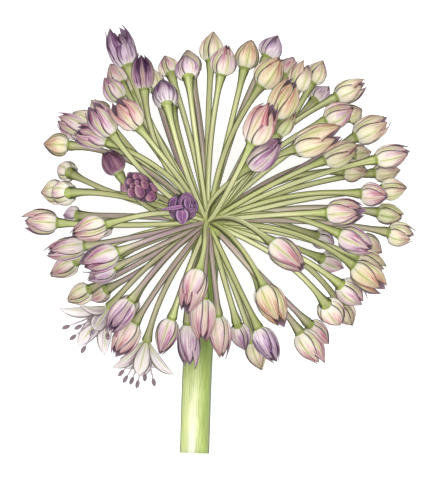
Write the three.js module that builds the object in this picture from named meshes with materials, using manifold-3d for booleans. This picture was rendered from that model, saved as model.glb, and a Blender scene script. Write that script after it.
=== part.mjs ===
import * as THREE from 'three';
import { mergeVertices } from 'three/addons/utils/BufferGeometryUtils.js';
import Module from 'manifold-3d';

// Allium flower head: a loose, round umbel of buds on arching stalks, with two open flowers, a knot
// of bulbils and one folded bud, on a short length of scape. It is cut and lies on its side: the
// scape runs along -Y, and the side that shows faces up, along +Z. Sizes are in millimetres.

// Driving dimensions
const UMBEL = new THREE.Vector3(-2.96, 4.9, 43); // where the stalks meet, over the surface
const PLOT = 0.25; // what grows from there is plotted in quarter millimetres, as seen from above
const HEAD_RADIUS = 45.5; // from there to the middle of a bud
const RADIUS_BY_SCAPE = 37.5; // the same close beside the scape, where stalks are shorter
const NOD = 0.45; // a bud leans up or down by this share of its stalk's lean
const SEAT = 0.3; // from a stalk's cup to its bud
const CLEAR = 0.35; // between neighbours, at least
const FLAT = 0.8; // taken off the lowest buds, which the head lies on
const TEPAL = { thickness: 0.7, width: 4.2, bentWidth: 2.2, arch: 1.2 };
const STAMEN = { root: 2.9, radius: 0.31, anther: 2.4, antherRadius: 0.6 };
const OVARY = { from: 2, to: 4.6, radius: 1 };
const HUB = { length: 1.6, radius: 1.5, rim: 1.7 }; // what an open flower's tepals grow from
const MOST_STRAIGHT = 0.4; // radians from a stalk to its bud, past which its arch is drawn finer
const STALK = { radius: 0.92, root: 0.7, cup: 1.5, sides: 5 };
const BEND = { before: 0.4, rise: 0.55 }; // how a stalk turns to its bud, in shares of its length
const HIGH_BEND = { before: 0.25, rise: 0.8 }; // the same for one that arches over
const SCAPE = { radius: 3.7, neck: 3.3, knob: 5, sides: 10 };
const SCAPE_PLOT = [[0, 0], [-3.5, -42], [-10, -133], [-13.5, -231]];

const COATS = {
  plum: 0x6b3f66,
  lilac: 0xc49ac6,
  rose: 0xe0a9b8,
  peach: 0xeab595,
  cream: 0xf3ead8,
  leaf: 0xaebf6a,
  anther: 0x7d6a78,
};

// Each bud is plotted from its stalk's cup (x, y) to its tip (x, y), then its width, how far
// forward it stands, from 1 on the near side of the head through 0 at its rim to -1 behind, and
// its coat. How far its tip has opened, and a tilt in degrees up or down, follow where they count.
const BUDS = {
  upper_left: [
    [-80, 155, -92, 189, 28, 1, 'plum', 0.8],
    [-63, 131, -66, 164, 23, 1, 'plum', 0.6],
    [-39, 112, -46, 141, 26, 1, 'plum', 0, -45],
    [-19, 140, -22, 165, 25, 0.8, 'lilac', 0, -35],
    [-16, 148, -21, 175, 24, -1, 'cream'],
    [-37, 148, -44, 169, 22, -1, 'rose'],
    [-86, 138, -99, 160, 22, -1, 'rose'],
    [-76, 128, -89, 149, 22, -1, 'cream'],
    [-52, 131, -59, 158, 22, -1, 'cream'],
    [-87, 121, -103, 144, 22, 0.4, 'lilac'],
    [-68, 93, -88, 117, 28, 1, 'peach', 0.8],
    [-94, 86, -113, 112, 27, 1, 'lilac', 0.6],
    [-100, 79, -130, 90, 25, 0.8, 'lilac', 0.6],
    [-123, 89, -149, 102, 24, 0.2, 'lilac', 0.5],
    [-104, 106, -118, 124, 22, -1, 'cream'],
    [-118, 98, -137, 111, 22, -0.9, 'peach'],
    [-138, 76, -164, 78, 24, 0.5, 'peach'],
    [-136, 48, -151, 56, 22, -0.6, 'lilac', 0, -30],
    [-146, 31, -170, 30, 26, -1, 'peach'],
    [-134, 29, -156, 28, 25, 0.3, 'lilac', 0, -45],
    [-88, 48, -100, 69, 23, 0.6, 'plum'],
  ],
  left: [
    [-149, -1, -181, 1, 26, 0.5, 'rose', 0.7],
    [-130, 7, -148, 7, 20, -1, 'lilac'],
    [-101, -3, -133, -13, 26, 1, 'cream', 0.2],
    [-122, -24, -157, -30, 24, 0.5, 'rose', 0.3],
    [-132, -39, -160, -54, 22, -0.9, 'rose'],
    [-89, -30, -121, -43, 27, 1, 'lilac'],
    [-92, -45, -119, -58, 22, 0.5, 'rose'],
    [-101, -67, -122, -78, 22, -1, 'peach'],
    [-118, -67, -143, -80, 22, -0.9, 'cream'],
  ],
  top: [
    [3, 160, 5, 192, 25, -0.8, 'cream'],
    [13, 145, 19, 174, 27, 0.9, 'rose'],
    [36, 152, 43, 181, 25, 0.5, 'peach'],
    [58, 164, 70, 187, 24, 0.1, 'lilac'],
    [52, 134, 72, 162, 30, 0.9, 'peach'],
    [76, 146, 86, 166, 22, -0.8, 'rose'],
    [87, 130, 96, 157, 24, 0.5, 'leaf', 0.6],
    [103, 138, 115, 162, 22, -0.5, 'leaf'],
    [66, 103, 84, 137, 30, 1, 'peach', 0.3],
    [69, 86, 85, 108, 18, 0.7, 'leaf', 0.3],
    [105, 120, 122, 137, 22, -0.8, 'lilac', 0, -15],
    [43, 77, 60, 112, 30, 1, 'peach', 0.3],
    [41, 54, 72, 80, 28, 1, 'rose', 0.2],
  ],
  right: [
    [127, 124, 154, 137, 24, 0.2, 'cream', 0.3],
    [116, 100, 144, 113, 26, 0.8, 'rose', 0.2],
    [138, 104, 155, 113, 22, -0.6, 'leaf'],
    [146, 84, 177, 101, 27, 0.4, 'rose', 0.3],
    [86, 72, 127, 87, 30, 1, 'peach', 0.9],
    [115, 61, 148, 75, 26, 0.5, 'rose', 0.2],
    [145, 68, 165, 71, 20, -1, 'leaf'],
    [134, 51, 160, 51, 23, 0.2, 'rose'],
    [166, 62, 198, 69, 24, 0.3, 'rose', 0.3],
    [165, 49, 193, 52, 22, -0.6, 'leaf'],
    [151, 28, 178, 26, 24, 0.8, 'rose', 0.2],
    [172, 32, 199, 34, 23, -0.5, 'cream'],
    [117, 9, 150, 10, 27, 1, 'rose', 0.8],
    [168, 10, 194, 6, 22, -0.6, 'leaf', 0.5],
    [179, -10, 204, -15, 25, 0.3, 'rose', 0.3],
  ],
  lower_right: [
    [107, -13, 129, -22, 22, -1, 'lilac'],
    [130, -12, 161, -27, 27, 1, 'lilac', 0.2],
    [152, -16, 176, -31, 22, -0.9, 'cream'],
    [148, -34, 175, -45, 22, -0.5, 'peach', 0.2],
    [144, -43, 171, -64, 28, 0.9, 'cream', 0.6],
    [113, -36, 138, -47, 22, -1, 'lilac'],
    [130, -61, 153, -79, 26, 0.5, 'rose', 0.2, -20],
    [115, -79, 132, -102, 27, 0.8, 'rose', 0, -40],
    [132, -83, 145, -104, 22, -0.6, 'peach'],
    [100, -101, 121, -122, 22, 0.2, 'rose', 0, -20],
    [91, -109, 112, -138, 26, 0.9, 'rose', 0.2],
    [63, -21, 93, -46, 28, 1, 'rose', 0.2],
    [55, -64, 72, -99, 29, 1, 'peach', 0.2],
    [50, -105, 66, -137, 24, 1, 'lilac', 0.2],
    [44, -118, 54, -149, 22, -0.6, 'rose'],
    [29, -101, 37, -128, 21, 0.2, 'lilac', 0, -20],
  ],
  below: [
    [10, -93, 14, -134, 23, 0.5, 'rose', 0.2],
    [-4, -76, -6, -117, 26, 0.7, 'rose', 0.3],
    [-20, -101, -18, -141, 23, 0.5, 'lilac', 0.3],
    [-9, -48, -21, -86, 27, 1, 'rose', 0.3],
    [-36, -96, -47, -130, 23, 0.7, 'lilac', 0.2],
    [-72, -100, -91, -131, 26, 1, 'lilac', 0.2],
    [-76, -78, -96, -106, 24, 1, 'lilac', 0.5],
  ],
};

// Four of the foremost stalks rise through these points before they arch over to their cups
const ARCHES = new Map([
  ['41,54', [-4, 22]],
  ['63,-21', [22, 8]],
  ['55,-64', [22, -8]],
  ['-9,-48', [-7, -8]],
]);

// The side that lies down has a bud behind each of the foremost ones, up to this far out
const FELLOW_WITHIN = 136;
const FELLOW_WIDTH = 23;
const FELLOW_LENGTH = 0.85; // of the length of the one before it
const FELLOW_SCATTER = 3;
const LYING_WITHIN = 92; // those nearer the middle than this carry the head

// An open flower has a cup (x, y, forward) and a mouth (x, y). Its tepals are plotted by their
// tips (x, y), with 1 for one that comes forward and -1 for one that goes back, and its anthers
// likewise. Reach is a tepal's length.
const FLOWERS = {
  flower_left: {
    cup: [-98, -85, 0.6],
    mouth: [-124, -117],
    reach: 52,
    tepals: [
      [-147, -86, 0.6], [-128, -81, 1], [-112, -106, 1],
      [-130, -124, -1], [-103, -133, -0.5], [-121, -112, -1],
    ],
    anthers: [
      [-140, -104, 0.6], [-133, -114, 0.7], [-123, -126, 0.5],
      [-99, -113, 0.55], [-114, -109, 0], [-128, -104, 0.2],
    ],
  },
  flower_below: {
    cup: [-61, -119, 0.3],
    mouth: [-69, -152],
    reach: 46,
    tepals: [
      [-69, -152, 1], [-95, -145, 0.6], [-34, -152, 0.6],
      [-50, -147, -1], [-82, -147, -1], [-66, -155, -1],
    ],
    anthers: [
      [-86, -150, 0.5], [-82, -156, 0.3], [-70, -161, 0.5],
      [-54, -159, 0.4], [-63, -155, -0.6], [-76, -158, -0.6],
    ],
  },
};

// The knot of bulbils by the middle, plotted by their middles (x, y) with their widths
const KNOT = { middle: [-66, 34], rise: 27, core: 2.2, spread: 3.6 };
const BULBILS = [
  [-74, 47, 9], [-68, 49, 8], [-79, 39, 10], [-61, 41, 9], [-67, 30, 12],
  [-77, 29, 9], [-56, 26, 9], [-52, 33, 8], [-62, 20, 9], [-71, 39, 10],
];

// The folded bud that looks straight up, with two narrow tepals bent out of it
const FOLDED = { middle: [-25, 14], rise: 29, length: 9, width: 29, tepals: [[-47, 11], [-24, -3]] };

const wasm = await Module();
wasm.setup();

// A small generator of repeatable random numbers from 0 to 1
function seeded(seed) {
  let state = seed;
  return () => {
    state = (state * 16807) % 2147483647;
    return state / 2147483647;
  };
}

const spot = (x, y, z = 0) => new THREE.Vector3(x, y, z);
const plotted = (x, y, z = 0) => spot(x, y, z).multiplyScalar(PLOT);
const degrees = THREE.MathUtils.degToRad;
const mix = THREE.MathUtils.lerp;

// Depth of the head's round surface over a plotted point, at that share forward
function depthAt(x, y, forward) {
  const out = Math.hypot(x, y) * PLOT;
  const scapeward = Math.min(Math.max(-y * PLOT / HEAD_RADIUS, 0), 1);
  const reach = mix(HEAD_RADIUS, RADIUS_BY_SCAPE, scapeward);
  return { depth: forward * Math.sqrt(Math.max(reach ** 2 - out ** 2, 0)), reach };
}

// A bud's middle, axis and length in the head, from its row in the plot
function plotBud([cupX, cupY, tipX, tipY, width, forward, coat, open = 0, tilt = 0]) {
  const middleX = (cupX + tipX) / 2;
  const middleY = (cupY + tipY) / 2;
  const { depth, reach } = depthAt(middleX, middleY, forward);
  const lean = NOD * Math.asin(depth / reach) + degrees(tilt);
  const axis = plotted(tipX - cupX, tipY - cupY);
  const seen = axis.length();
  axis.normalize().multiplyScalar(Math.cos(lean)).setZ(Math.sin(lean));
  return {
    middle: plotted(middleX, middleY).setZ(depth),
    axis,
    length: seen / Math.cos(lean),
    radius: width * PLOT / 2,
    arch: ARCHES.get(`${cupX},${cupY}`),
    forward, coat, open,
  };
}

// Where along a bud and the end of its stalk, as a share of its length, and how wide, as a share of
// its radius, it is measured
const GIRTHS = [
  [-0.8, 0.33], [-0.5, 0.33], [-0.2, 0.38],
  [0.04, 0.6], [0.3, 1.04], [0.62, 0.95], [0.92, 0.45],
];

function girths(bud) {
  return GIRTHS.map(([share, wide]) => ({
    at: bud.middle.clone().addScaledVector(bud.axis, (share - 0.5) * bud.length),
    radius: wide * bud.radius,
  }));
}

function lowest(bud) {
  return Math.min(...girths(bud).map(({ at, radius }) => at.z - radius));
}

// How much two buds lack of being clear of each other
function lack(one, other) {
  const reach = 0.8 * (one.length + other.length);
  if (one.middle.distanceTo(other.middle) > reach) return 0;
  let most = 0;
  for (const mine of girths(one)) {
    for (const yours of girths(other)) {
      most = Math.max(most, mine.radius + yours.radius + CLEAR - mine.at.distanceTo(yours.at));
    }
  }
  return most;
}

// Buds that would touch part in depth, a little at a time, the one further forward moving up
function settle(buds) {
  const rounds = 60;
  const floor = -UMBEL.z + CLEAR;
  for (let round = 0; round < rounds; round += 1) {
    buds.forEach((one, index) => {
      for (const other of buds.slice(index + 1)) {
        const part = lack(one, other) / 2;
        const up = one.forward >= other.forward ? 1 : -1;
        one.middle.z += up * part;
        other.middle.z -= up * part;
      }
    });
    for (const bud of buds.filter(({ lies }) => !lies)) {
      bud.middle.z += Math.max(floor - lowest(bud), 0);
    }
    for (const bud of buds.filter(({ lies }) => lies)) {
      bud.middle.z -= lowest(bud) + UMBEL.z + FLAT;
    }
  }
}

const buds = Object.entries(BUDS).flatMap(([side, rows]) =>
  rows.map((row, index) => ({ name: `bud_${side}_${index + 1}`, ...plotBud(row) })));

const scatter = seeded(41);
const shift = () => (scatter() - 0.5) * FELLOW_SCATTER * 2;
const foremost = Object.values(BUDS).flat().filter(([cupX, cupY, tipX, tipY, , forward]) =>
  forward === 1 && Math.hypot(cupX + tipX, cupY + tipY) / 2 < FELLOW_WITHIN);
const knotRow = [-66, 26, -91, 46]; // one bud behind the knot of bulbils
const fellows = [knotRow, ...foremost].map(([cupX, cupY, tipX, tipY]) => {
  const [right, up] = [shift(), shift()];
  const ends = [cupX, cupY, mix(cupX, tipX, FELLOW_LENGTH), mix(cupY, tipY, FELLOW_LENGTH)];
  const moved = ends.map((place, index) => place + (index % 2 ? up : right));
  const lies = Math.hypot(cupX + tipX, cupY + tipY) / 2 < LYING_WITHIN;
  return { ...plotBud([...moved, FELLOW_WIDTH, -1, 'cream']), lies };
});
settle([...buds, ...fellows]);

const knotMiddle = plotted(...KNOT.middle).setZ(KNOT.rise);
const folded = {
  middle: plotted(...FOLDED.middle).setZ(FOLDED.rise),
  axis: spot(0.12, -0.1, 1).normalize(),
  length: FOLDED.length,
  radius: FOLDED.width * PLOT / 2,
  open: 0, forward: 1,
};

// A closed geometry as a solid that can be joined and cut
function solid(geometry) {
  geometry.deleteAttribute('normal');
  geometry.deleteAttribute('uv');
  const merged = mergeVertices(geometry, 1e-4);
  return new wasm.Manifold(new wasm.Mesh({
    numProp: 3,
    vertProperties: merged.attributes.position.array,
    triVerts: new Uint32Array(merged.index.array),
  }));
}

// A mesh from a joined solid
function mesh(name, shape, coat) {
  const { vertProperties, triVerts } = shape.getMesh();
  const geometry = new THREE.BufferGeometry();
  geometry.setAttribute('position', new THREE.BufferAttribute(vertProperties, 3));
  geometry.setIndex(new THREE.BufferAttribute(triVerts, 1));
  geometry.computeVertexNormals();
  const material = new THREE.MeshStandardMaterial({ color: COATS[coat], roughness: 0.6, metalness: 0 });
  const made = new THREE.Mesh(geometry, material);
  made.name = name;
  return made;
}

// Carries a solid that stands on the ground plane along a curve: its height, 0 to 1, becomes the
// way along the curve, and its +Z side turns to the facing given.
function carry(geometry, curve, facing) {
  const place = geometry.getAttribute('position');
  const point = spot(0, 0);
  for (let index = 0; index < place.count; index += 1) {
    point.fromBufferAttribute(place, index);
    const ahead = curve.getTangentAt(point.y);
    const front = facing.clone().addScaledVector(ahead, -facing.dot(ahead)).normalize();
    const side = new THREE.Vector3().crossVectors(ahead, front);
    const put = curve.getPointAt(point.y).addScaledVector(side, point.x).addScaledVector(front, point.z);
    place.setXYZ(index, ...put);
  }
  return geometry;
}

// Up, or along the picture's bottom for what points up itself
const facingFor = (axis) => (Math.abs(axis.z) < 0.95 ? spot(0, 0, 1) : spot(0, -1, 0));

// A round solid with the profile [share of the height, radius], closed at both ends
function turned(profile, sides, capHeight = profile.at(-1)[0]) {
  const rings = profile.map(([share, radius]) => new THREE.Vector2(radius, share));
  const ends = [new THREE.Vector2(0, profile[0][0]), new THREE.Vector2(0, capHeight)];
  return new THREE.LatheGeometry([ends[0], ...rings, ends[1]], sides);
}

// A thin tepal, widest at its middle and pointed, along a curve
function tepal(curve, width, facing) {
  const blade = new THREE.BoxGeometry(width, 1, TEPAL.thickness, 2, 3, 1).translate(0, 0.5, 0);
  const place = blade.getAttribute('position');
  const hollow = width * 0.12;
  for (let index = 0; index < place.count; index += 1) {
    const share = place.getY(index);
    const across = place.getX(index) / width * 2;
    const wide = mix(0.35, 1, Math.sin(Math.PI * Math.min(share * 1.25, 1))) * mix(1, 0.45, share ** 3);
    place.setX(index, place.getX(index) * wide);
    place.setZ(index, place.getZ(index) + hollow * across ** 2 * wide);
  }
  return solid(carry(blade, curve, facing));
}

// A bud's profile, and where its hollow crown ends
const CROWN = 0.93;
const budProfile = (open) => [[0, 0.55], [0.25, 0.97], [0.62, 0.88], [CROWN, mix(0.3, 0.62, open)]];
const budHollow = (open) => mix(0.85, 0.7, open);

// Raises three outer tepals on a turned bud, with three inner ones between them, and parts the tips
function raiseTepals(x, share, z) {
  const outer = Math.cos(3 * Math.atan2(x, z)); // 1 on an outer tepal, -1 on an inner, 0 between
  const swell = 0.93 + 0.08 * Math.abs(outer) + 0.03 * outer;
  const tip = share === CROWN ? 0.07 * Math.abs(outer) + 0.03 * outer - 0.03 : 0;
  return [x * swell, share + tip, z * swell];
}

function budSolid({ middle, axis, length, radius, open }) {
  const geometry = turned(budProfile(open), 12, budHollow(open));
  const place = geometry.getAttribute('position');
  for (let index = 0; index < place.count; index += 1) {
    const [x, share, z] = raiseTepals(place.getX(index), place.getY(index), place.getZ(index));
    place.setXYZ(index, x * radius, share, z * radius);
  }
  const [cup, tip] = [-0.5, 0.5].map((share) => middle.clone().addScaledVector(axis, share * length));
  return solid(carry(geometry, new THREE.LineCurve3(cup, tip), facingFor(axis)));
}

// The line of a stalk from the umbel's middle, which arches over to a cup that faces the given way
function stalkLine(cup, axis, arch) {
  const { before, rise: share } = arch ? HIGH_BEND : BEND;
  const bend = cup.clone().addScaledVector(axis, -before * cup.length());
  const rise = arch ? plotted(...arch).setZ(cup.z * share) : bend.clone().multiplyScalar(share);
  return new THREE.CubicBezierCurve3(spot(0, 0), rise, bend, cup);
}

// Across the plane of an arch, for what is carried along it
function acrossArch(cup, axis) {
  const across = new THREE.Vector3().crossVectors(axis, cup);
  return across.length() < 0.01 * cup.length() ? spot(-cup.y, cup.x) : across.normalize();
}

function stalk(cup, axis, arch) {
  const { radius, root, cup: rim, sides } = STALK;
  const shank = axis.angleTo(cup) > MOST_STRAIGHT || arch ? [0.4, 0.7] : [0.5];
  const profile = [[0, root], ...shank.map((share) => [share, radius]), [0.9, radius * 1.1], [1, rim]];
  return solid(carry(turned(profile, sides), stalkLine(cup, axis, arch), acrossArch(cup, axis)));
}

// A stalk and the bud on it in one solid, with a ridge along each of its six tepals
function budOnStalk({ middle, axis, length, radius, open }) {
  const cup = middle.clone().addScaledVector(axis, -length / 2);
  const tip = middle.clone().addScaledVector(axis, length / 2);
  const way = new THREE.CurvePath();
  way.add(stalkLine(cup, axis));
  way.add(new THREE.LineCurve3(cup, tip));
  const bare = 1 - length / way.getLength();
  const shank = [[0, STALK.root], [0.5 * bare, STALK.radius], [0.88 * bare, STALK.radius]];
  const profile = budProfile(open).map(([share, wide]) => [share, wide * radius]);
  const onward = ([share, wide]) => [mix(bare, 1, share), wide];
  const geometry = turned([...shank, ...profile.map(onward)], 6, mix(bare, 1, budHollow(open)));
  const place = geometry.getAttribute('position');
  for (let index = 0; index < place.count; index += 1) {
    const share = (place.getY(index) - bare) / (1 - bare);
    if (share > 0) {
      const ring = Number(share.toFixed(6));
      const [x, height, z] = raiseTepals(place.getX(index), ring, place.getZ(index));
      place.setXYZ(index, x, mix(bare, 1, height), z);
    }
  }
  return solid(carry(geometry, way, acrossArch(cup, axis)));
}

const join = (solids) => solids.reduce((whole, next) => whole.add(next));

// The scape, the knob that it ends in, all stalks, and the buds too far back for a mesh of their own
function scapeAndStalks() {
  const along = new THREE.CatmullRomCurve3(SCAPE_PLOT.map(([x, y]) => plotted(x, y)));
  const profile = [[0, SCAPE.neck], [0.3, SCAPE.radius], [1, SCAPE.radius]];
  const scape = solid(carry(turned(profile, SCAPE.sides), along, spot(0, 0, 1)));
  const knob = solid(new THREE.SphereGeometry(SCAPE.knob, SCAPE.sides, 6));
  const seats = buds.filter(({ forward }) => forward >= 0).map(({ middle, axis, length, arch }) =>
    stalk(middle.clone().addScaledVector(axis, -length / 2 - SEAT), axis, arch));
  const behind = [...buds.filter(({ forward }) => forward < 0), ...fellows].map(budOnStalk);
  const knotAxis = spot(-0.2, 0.1, 1).normalize();
  const others = [
    stalk(knotMiddle.clone().addScaledVector(knotAxis, -KNOT.core - SEAT), knotAxis),
    stalk(folded.middle.clone().addScaledVector(folded.axis, -folded.length / 2 - SEAT), folded.axis),
    ...Object.values(FLOWERS).map(flowerFrame).map(({ cup, axis }) =>
      stalk(cup.clone().addScaledVector(axis, -SEAT), axis)),
  ];
  const whole = join([scape, knob, ...seats, ...behind, ...others]);
  const [wide, deep] = [300, 20];
  const surface = new THREE.BoxGeometry(wide, wide, deep).translate(0, 0, -UMBEL.z - deep / 2);
  return whole.subtract(solid(surface));
}

// Bulbils crowd round a small core, those at the middle of the knot the highest
function knotOfBulbils() {
  const core = solid(new THREE.SphereGeometry(KNOT.core, 8, 5).translate(...knotMiddle));
  const bulbils = BULBILS.map(([x, y, width]) => {
    const out = plotted(x, y).sub(plotted(...KNOT.middle));
    const up = Math.sqrt(Math.max(KNOT.spread ** 2 - out.lengthSq(), 0));
    const axis = out.setZ(up).normalize();
    const line = [0.3, 1].map((share) =>
      knotMiddle.clone().addScaledVector(axis, share * (KNOT.spread + 1)));
    const radius = width * PLOT / 2;
    const profile = [[0, 0.6 * radius], [0.4, radius], [0.8, 0.6 * radius]];
    return solid(carry(turned(profile, 5, 1), new THREE.LineCurve3(...line), facingFor(axis)));
  });
  return join([core, ...bulbils]);
}

function foldedBud() {
  const sunk = 1.2;
  const [drop, arch] = [0.5, 1];
  const top = folded.middle.clone().addScaledVector(folded.axis, folded.length / 2 - sunk);
  const bent = FOLDED.tepals.map(([x, y]) => {
    const tip = plotted(x, y).setZ(top.z - drop);
    const bend = top.clone().lerp(tip, 0.5).setZ(top.z + arch);
    return tepal(new THREE.QuadraticBezierCurve3(top, bend, tip), TEPAL.bentWidth, folded.axis);
  });
  return join([budSolid(folded), ...bent]);
}

// An open flower's middle line, and where a plotted point lies, so far from its cup
function flowerFrame({ cup: [cupX, cupY, forward], mouth }) {
  const { depth } = depthAt(cupX, cupY, forward);
  const cup = plotted(cupX, cupY).setZ(depth);
  const axis = plotted(...mouth).setZ(depth).sub(cup).normalize();
  const reached = ([x, y, front], reach) => {
    const aside = plotted(x, y).setZ(depth).sub(cup);
    const rise = Math.sqrt(Math.max((reach * PLOT) ** 2 - aside.lengthSq(), 0));
    return cup.clone().add(aside).setZ(depth + front * rise);
  };
  return { cup, axis, reached };
}

function tepalsOf(flower) {
  const { cup, axis, reached } = flowerFrame(flower);
  const line = new THREE.LineCurve3(cup, cup.clone().addScaledVector(axis, HUB.length));
  const hub = solid(carry(turned([[0, HUB.radius], [1, HUB.rim]], 8), line, spot(0, 0, 1)));
  const blades = flower.tepals.map((row) => {
    const tip = reached(row, flower.reach);
    const out = tip.clone().sub(cup);
    const aside = out.addScaledVector(axis, -out.dot(axis)).normalize();
    const root = cup.clone().addScaledVector(axis, HUB.length / 2).add(aside);
    const bend = root.clone().lerp(tip, 0.4).addScaledVector(axis, TEPAL.arch);
    return tepal(new THREE.QuadraticBezierCurve3(root, bend, tip), TEPAL.width, axis);
  });
  return join([hub, ...blades]);
}

function stamensOf(flower) {
  const { cup, axis, reached } = flowerFrame(flower);
  const ovaryLine = [OVARY.from, OVARY.to].map((ahead) => cup.clone().addScaledVector(axis, ahead));
  const ovaryProfile = [[0, 0.5 * OVARY.radius], [0.35, OVARY.radius], [0.8, 0.7 * OVARY.radius]];
  const ovary = solid(carry(turned(ovaryProfile, 6, 1), new THREE.LineCurve3(...ovaryLine), spot(0, 0, 1)));
  const stamens = flower.anthers.map((row) => {
    const end = reached(row, flower.reach);
    const root = cup.clone().addScaledVector(axis, STAMEN.root);
    const ahead = end.clone().sub(root).normalize();
    const line = new THREE.LineCurve3(root, end.addScaledVector(ahead, STAMEN.anther / 2));
    const anther = STAMEN.anther / line.getLength();
    const profile = [
      [0, STAMEN.radius], [1 - anther, STAMEN.radius],
      [1 - anther * 0.7, STAMEN.antherRadius], [1 - anther * 0.2, STAMEN.antherRadius * 0.9],
    ];
    return solid(carry(turned(profile, 4, 1), line, spot(0, 0, 1)));
  });
  return join([ovary, ...stamens]);
}

const head = new THREE.Group();
head.add(mesh('scape_and_stalks', scapeAndStalks(), 'leaf'));
for (const bud of buds.filter(({ forward }) => forward >= 0)) {
  head.add(mesh(bud.name, budSolid(bud), bud.coat));
}
for (const [name, flower] of Object.entries(FLOWERS)) {
  head.add(mesh(`${name}_tepals`, tepalsOf(flower), 'cream'));
  head.add(mesh(`${name}_stamens`, stamensOf(flower), 'anther'));
}
head.add(mesh('knot_of_bulbils', knotOfBulbils(), 'plum'));
head.add(mesh('folded_bud', foldedBud(), 'plum'));
head.position.copy(UMBEL);

const part = new THREE.Group();
part.add(head);
export default part;
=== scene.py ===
import math
import random
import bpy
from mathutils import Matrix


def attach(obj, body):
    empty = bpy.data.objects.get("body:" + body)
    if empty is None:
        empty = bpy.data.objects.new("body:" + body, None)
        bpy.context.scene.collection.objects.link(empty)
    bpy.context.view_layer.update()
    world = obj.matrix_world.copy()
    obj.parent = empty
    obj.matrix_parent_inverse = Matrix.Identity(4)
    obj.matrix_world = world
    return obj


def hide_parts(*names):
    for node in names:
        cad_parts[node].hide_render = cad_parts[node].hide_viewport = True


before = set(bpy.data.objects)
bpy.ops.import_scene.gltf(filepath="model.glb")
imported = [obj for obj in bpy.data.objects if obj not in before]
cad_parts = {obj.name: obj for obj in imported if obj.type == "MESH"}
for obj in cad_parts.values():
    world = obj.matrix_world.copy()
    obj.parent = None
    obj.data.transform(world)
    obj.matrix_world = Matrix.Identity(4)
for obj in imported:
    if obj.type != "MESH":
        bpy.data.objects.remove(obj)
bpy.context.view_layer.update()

from types import SimpleNamespace

import bmesh
import bpy
import numpy as np
from mathutils import Vector

# Allium flower head, cut and laid on its side, seen from straight above. Lengths are in millimetres
# and turn to metres where a vertex or the camera is placed; lights and floor are given in metres.
# What grows from the umbel's middle is plotted in quarter millimetres, x to the right and y up as
# seen from above.
MM = 0.001
PLOT = 0.25
UMBEL = np.array([-2.96, 4.9, 43.0])
UP = np.array([0.0, 0.0, 1.0])
MERGED = 0.002  # points of a skin closer than this become one

PICTURE = (438, 480)  # pixels, each one plot unit
UMBEL_PIXEL = (208, 222)
CAMERA_RISE = 1700.0
LIGHTS = {  # place and size in metres, power in watts
    "overhead_softbox": ((0.12, -0.05, 1.9), 1.6, 33.0),
    "window_side": ((-0.8, 0.4, 1.4), 0.9, 3.5),
}
WORLD_STRENGTH = 0.5
FLOOR = {"radius": 4.0, "glow": 0.6}  # the glow keeps the shadows on the white card faint

# The head is round and flatter beside the scape. A bud leans forward or back by a share, its nod, of
# the angle at which it stands so.
HEAD_RADIUS = 45.5
RADIUS_BY_SCAPE = 37.5
NOD = 0.45
SEAT = 0.3  # gap between a near bud and its cup
CLEAR = 0.35  # least gap between neighbouring buds
SETTLING_ROUNDS = 60
FLAT = 0.8  # how far the girths of a bud that lies down sink into the floor

# A stalk's bending points: how far before its cup, and how far up to that one from the umbel
BEND = {"before": 0.4, "rise": 0.55}
HIGH_BEND = {"before": 0.25, "rise": 0.8}
STEEP = 0.93  # a stalk that runs more upright than this turns its skin its own way
STALK = {"radius": 0.74, "root": 0.6, "cup": 1.35, "flare": 2.1, "flare_power": 1.3,
         "sides": 12, "rings": 22, "crowding": 0.8, "samples": 80}
# A cup's lip laps further over its bud in front and behind than at the sides, and without a bud it
# closes as a dome
CUP_LIP = {"side": 0.15, "front": 0.9, "skin": 0.1, "rings": 4, "inward": 0.8, "bottom": 0.3,
           "dome": 1.1}
SCAPE = {"radius": 3.7, "neck": 3.3, "neck_share": 0.3, "knob": 4.7, "sides": 32, "rings": 34,
         "ribs": 11, "rib": 0.008, "cap": 0.02}
SCAPE_PLOT = [(0, 0), (-3.5, -42), (-10, -133), (-13.5, -231)]

# How likely a stalk is flushed with mauve: between two angles about the umbel, in degrees from the
# right, and with its cup lower than a height. The first row that fits it counts.
MAUVE_STALKS = [(183, 262, 99, 0.9), (262, 300, 99, 0.55), (60, 150, 12, 0.45), (0, 360, 12, 0.3),
                (0, 360, 99, 0.03)]
MAUVE_DEPTH = (0.65, 1.0)

LOOK_SEED = 19
SCATTER_SEED = 41

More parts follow.
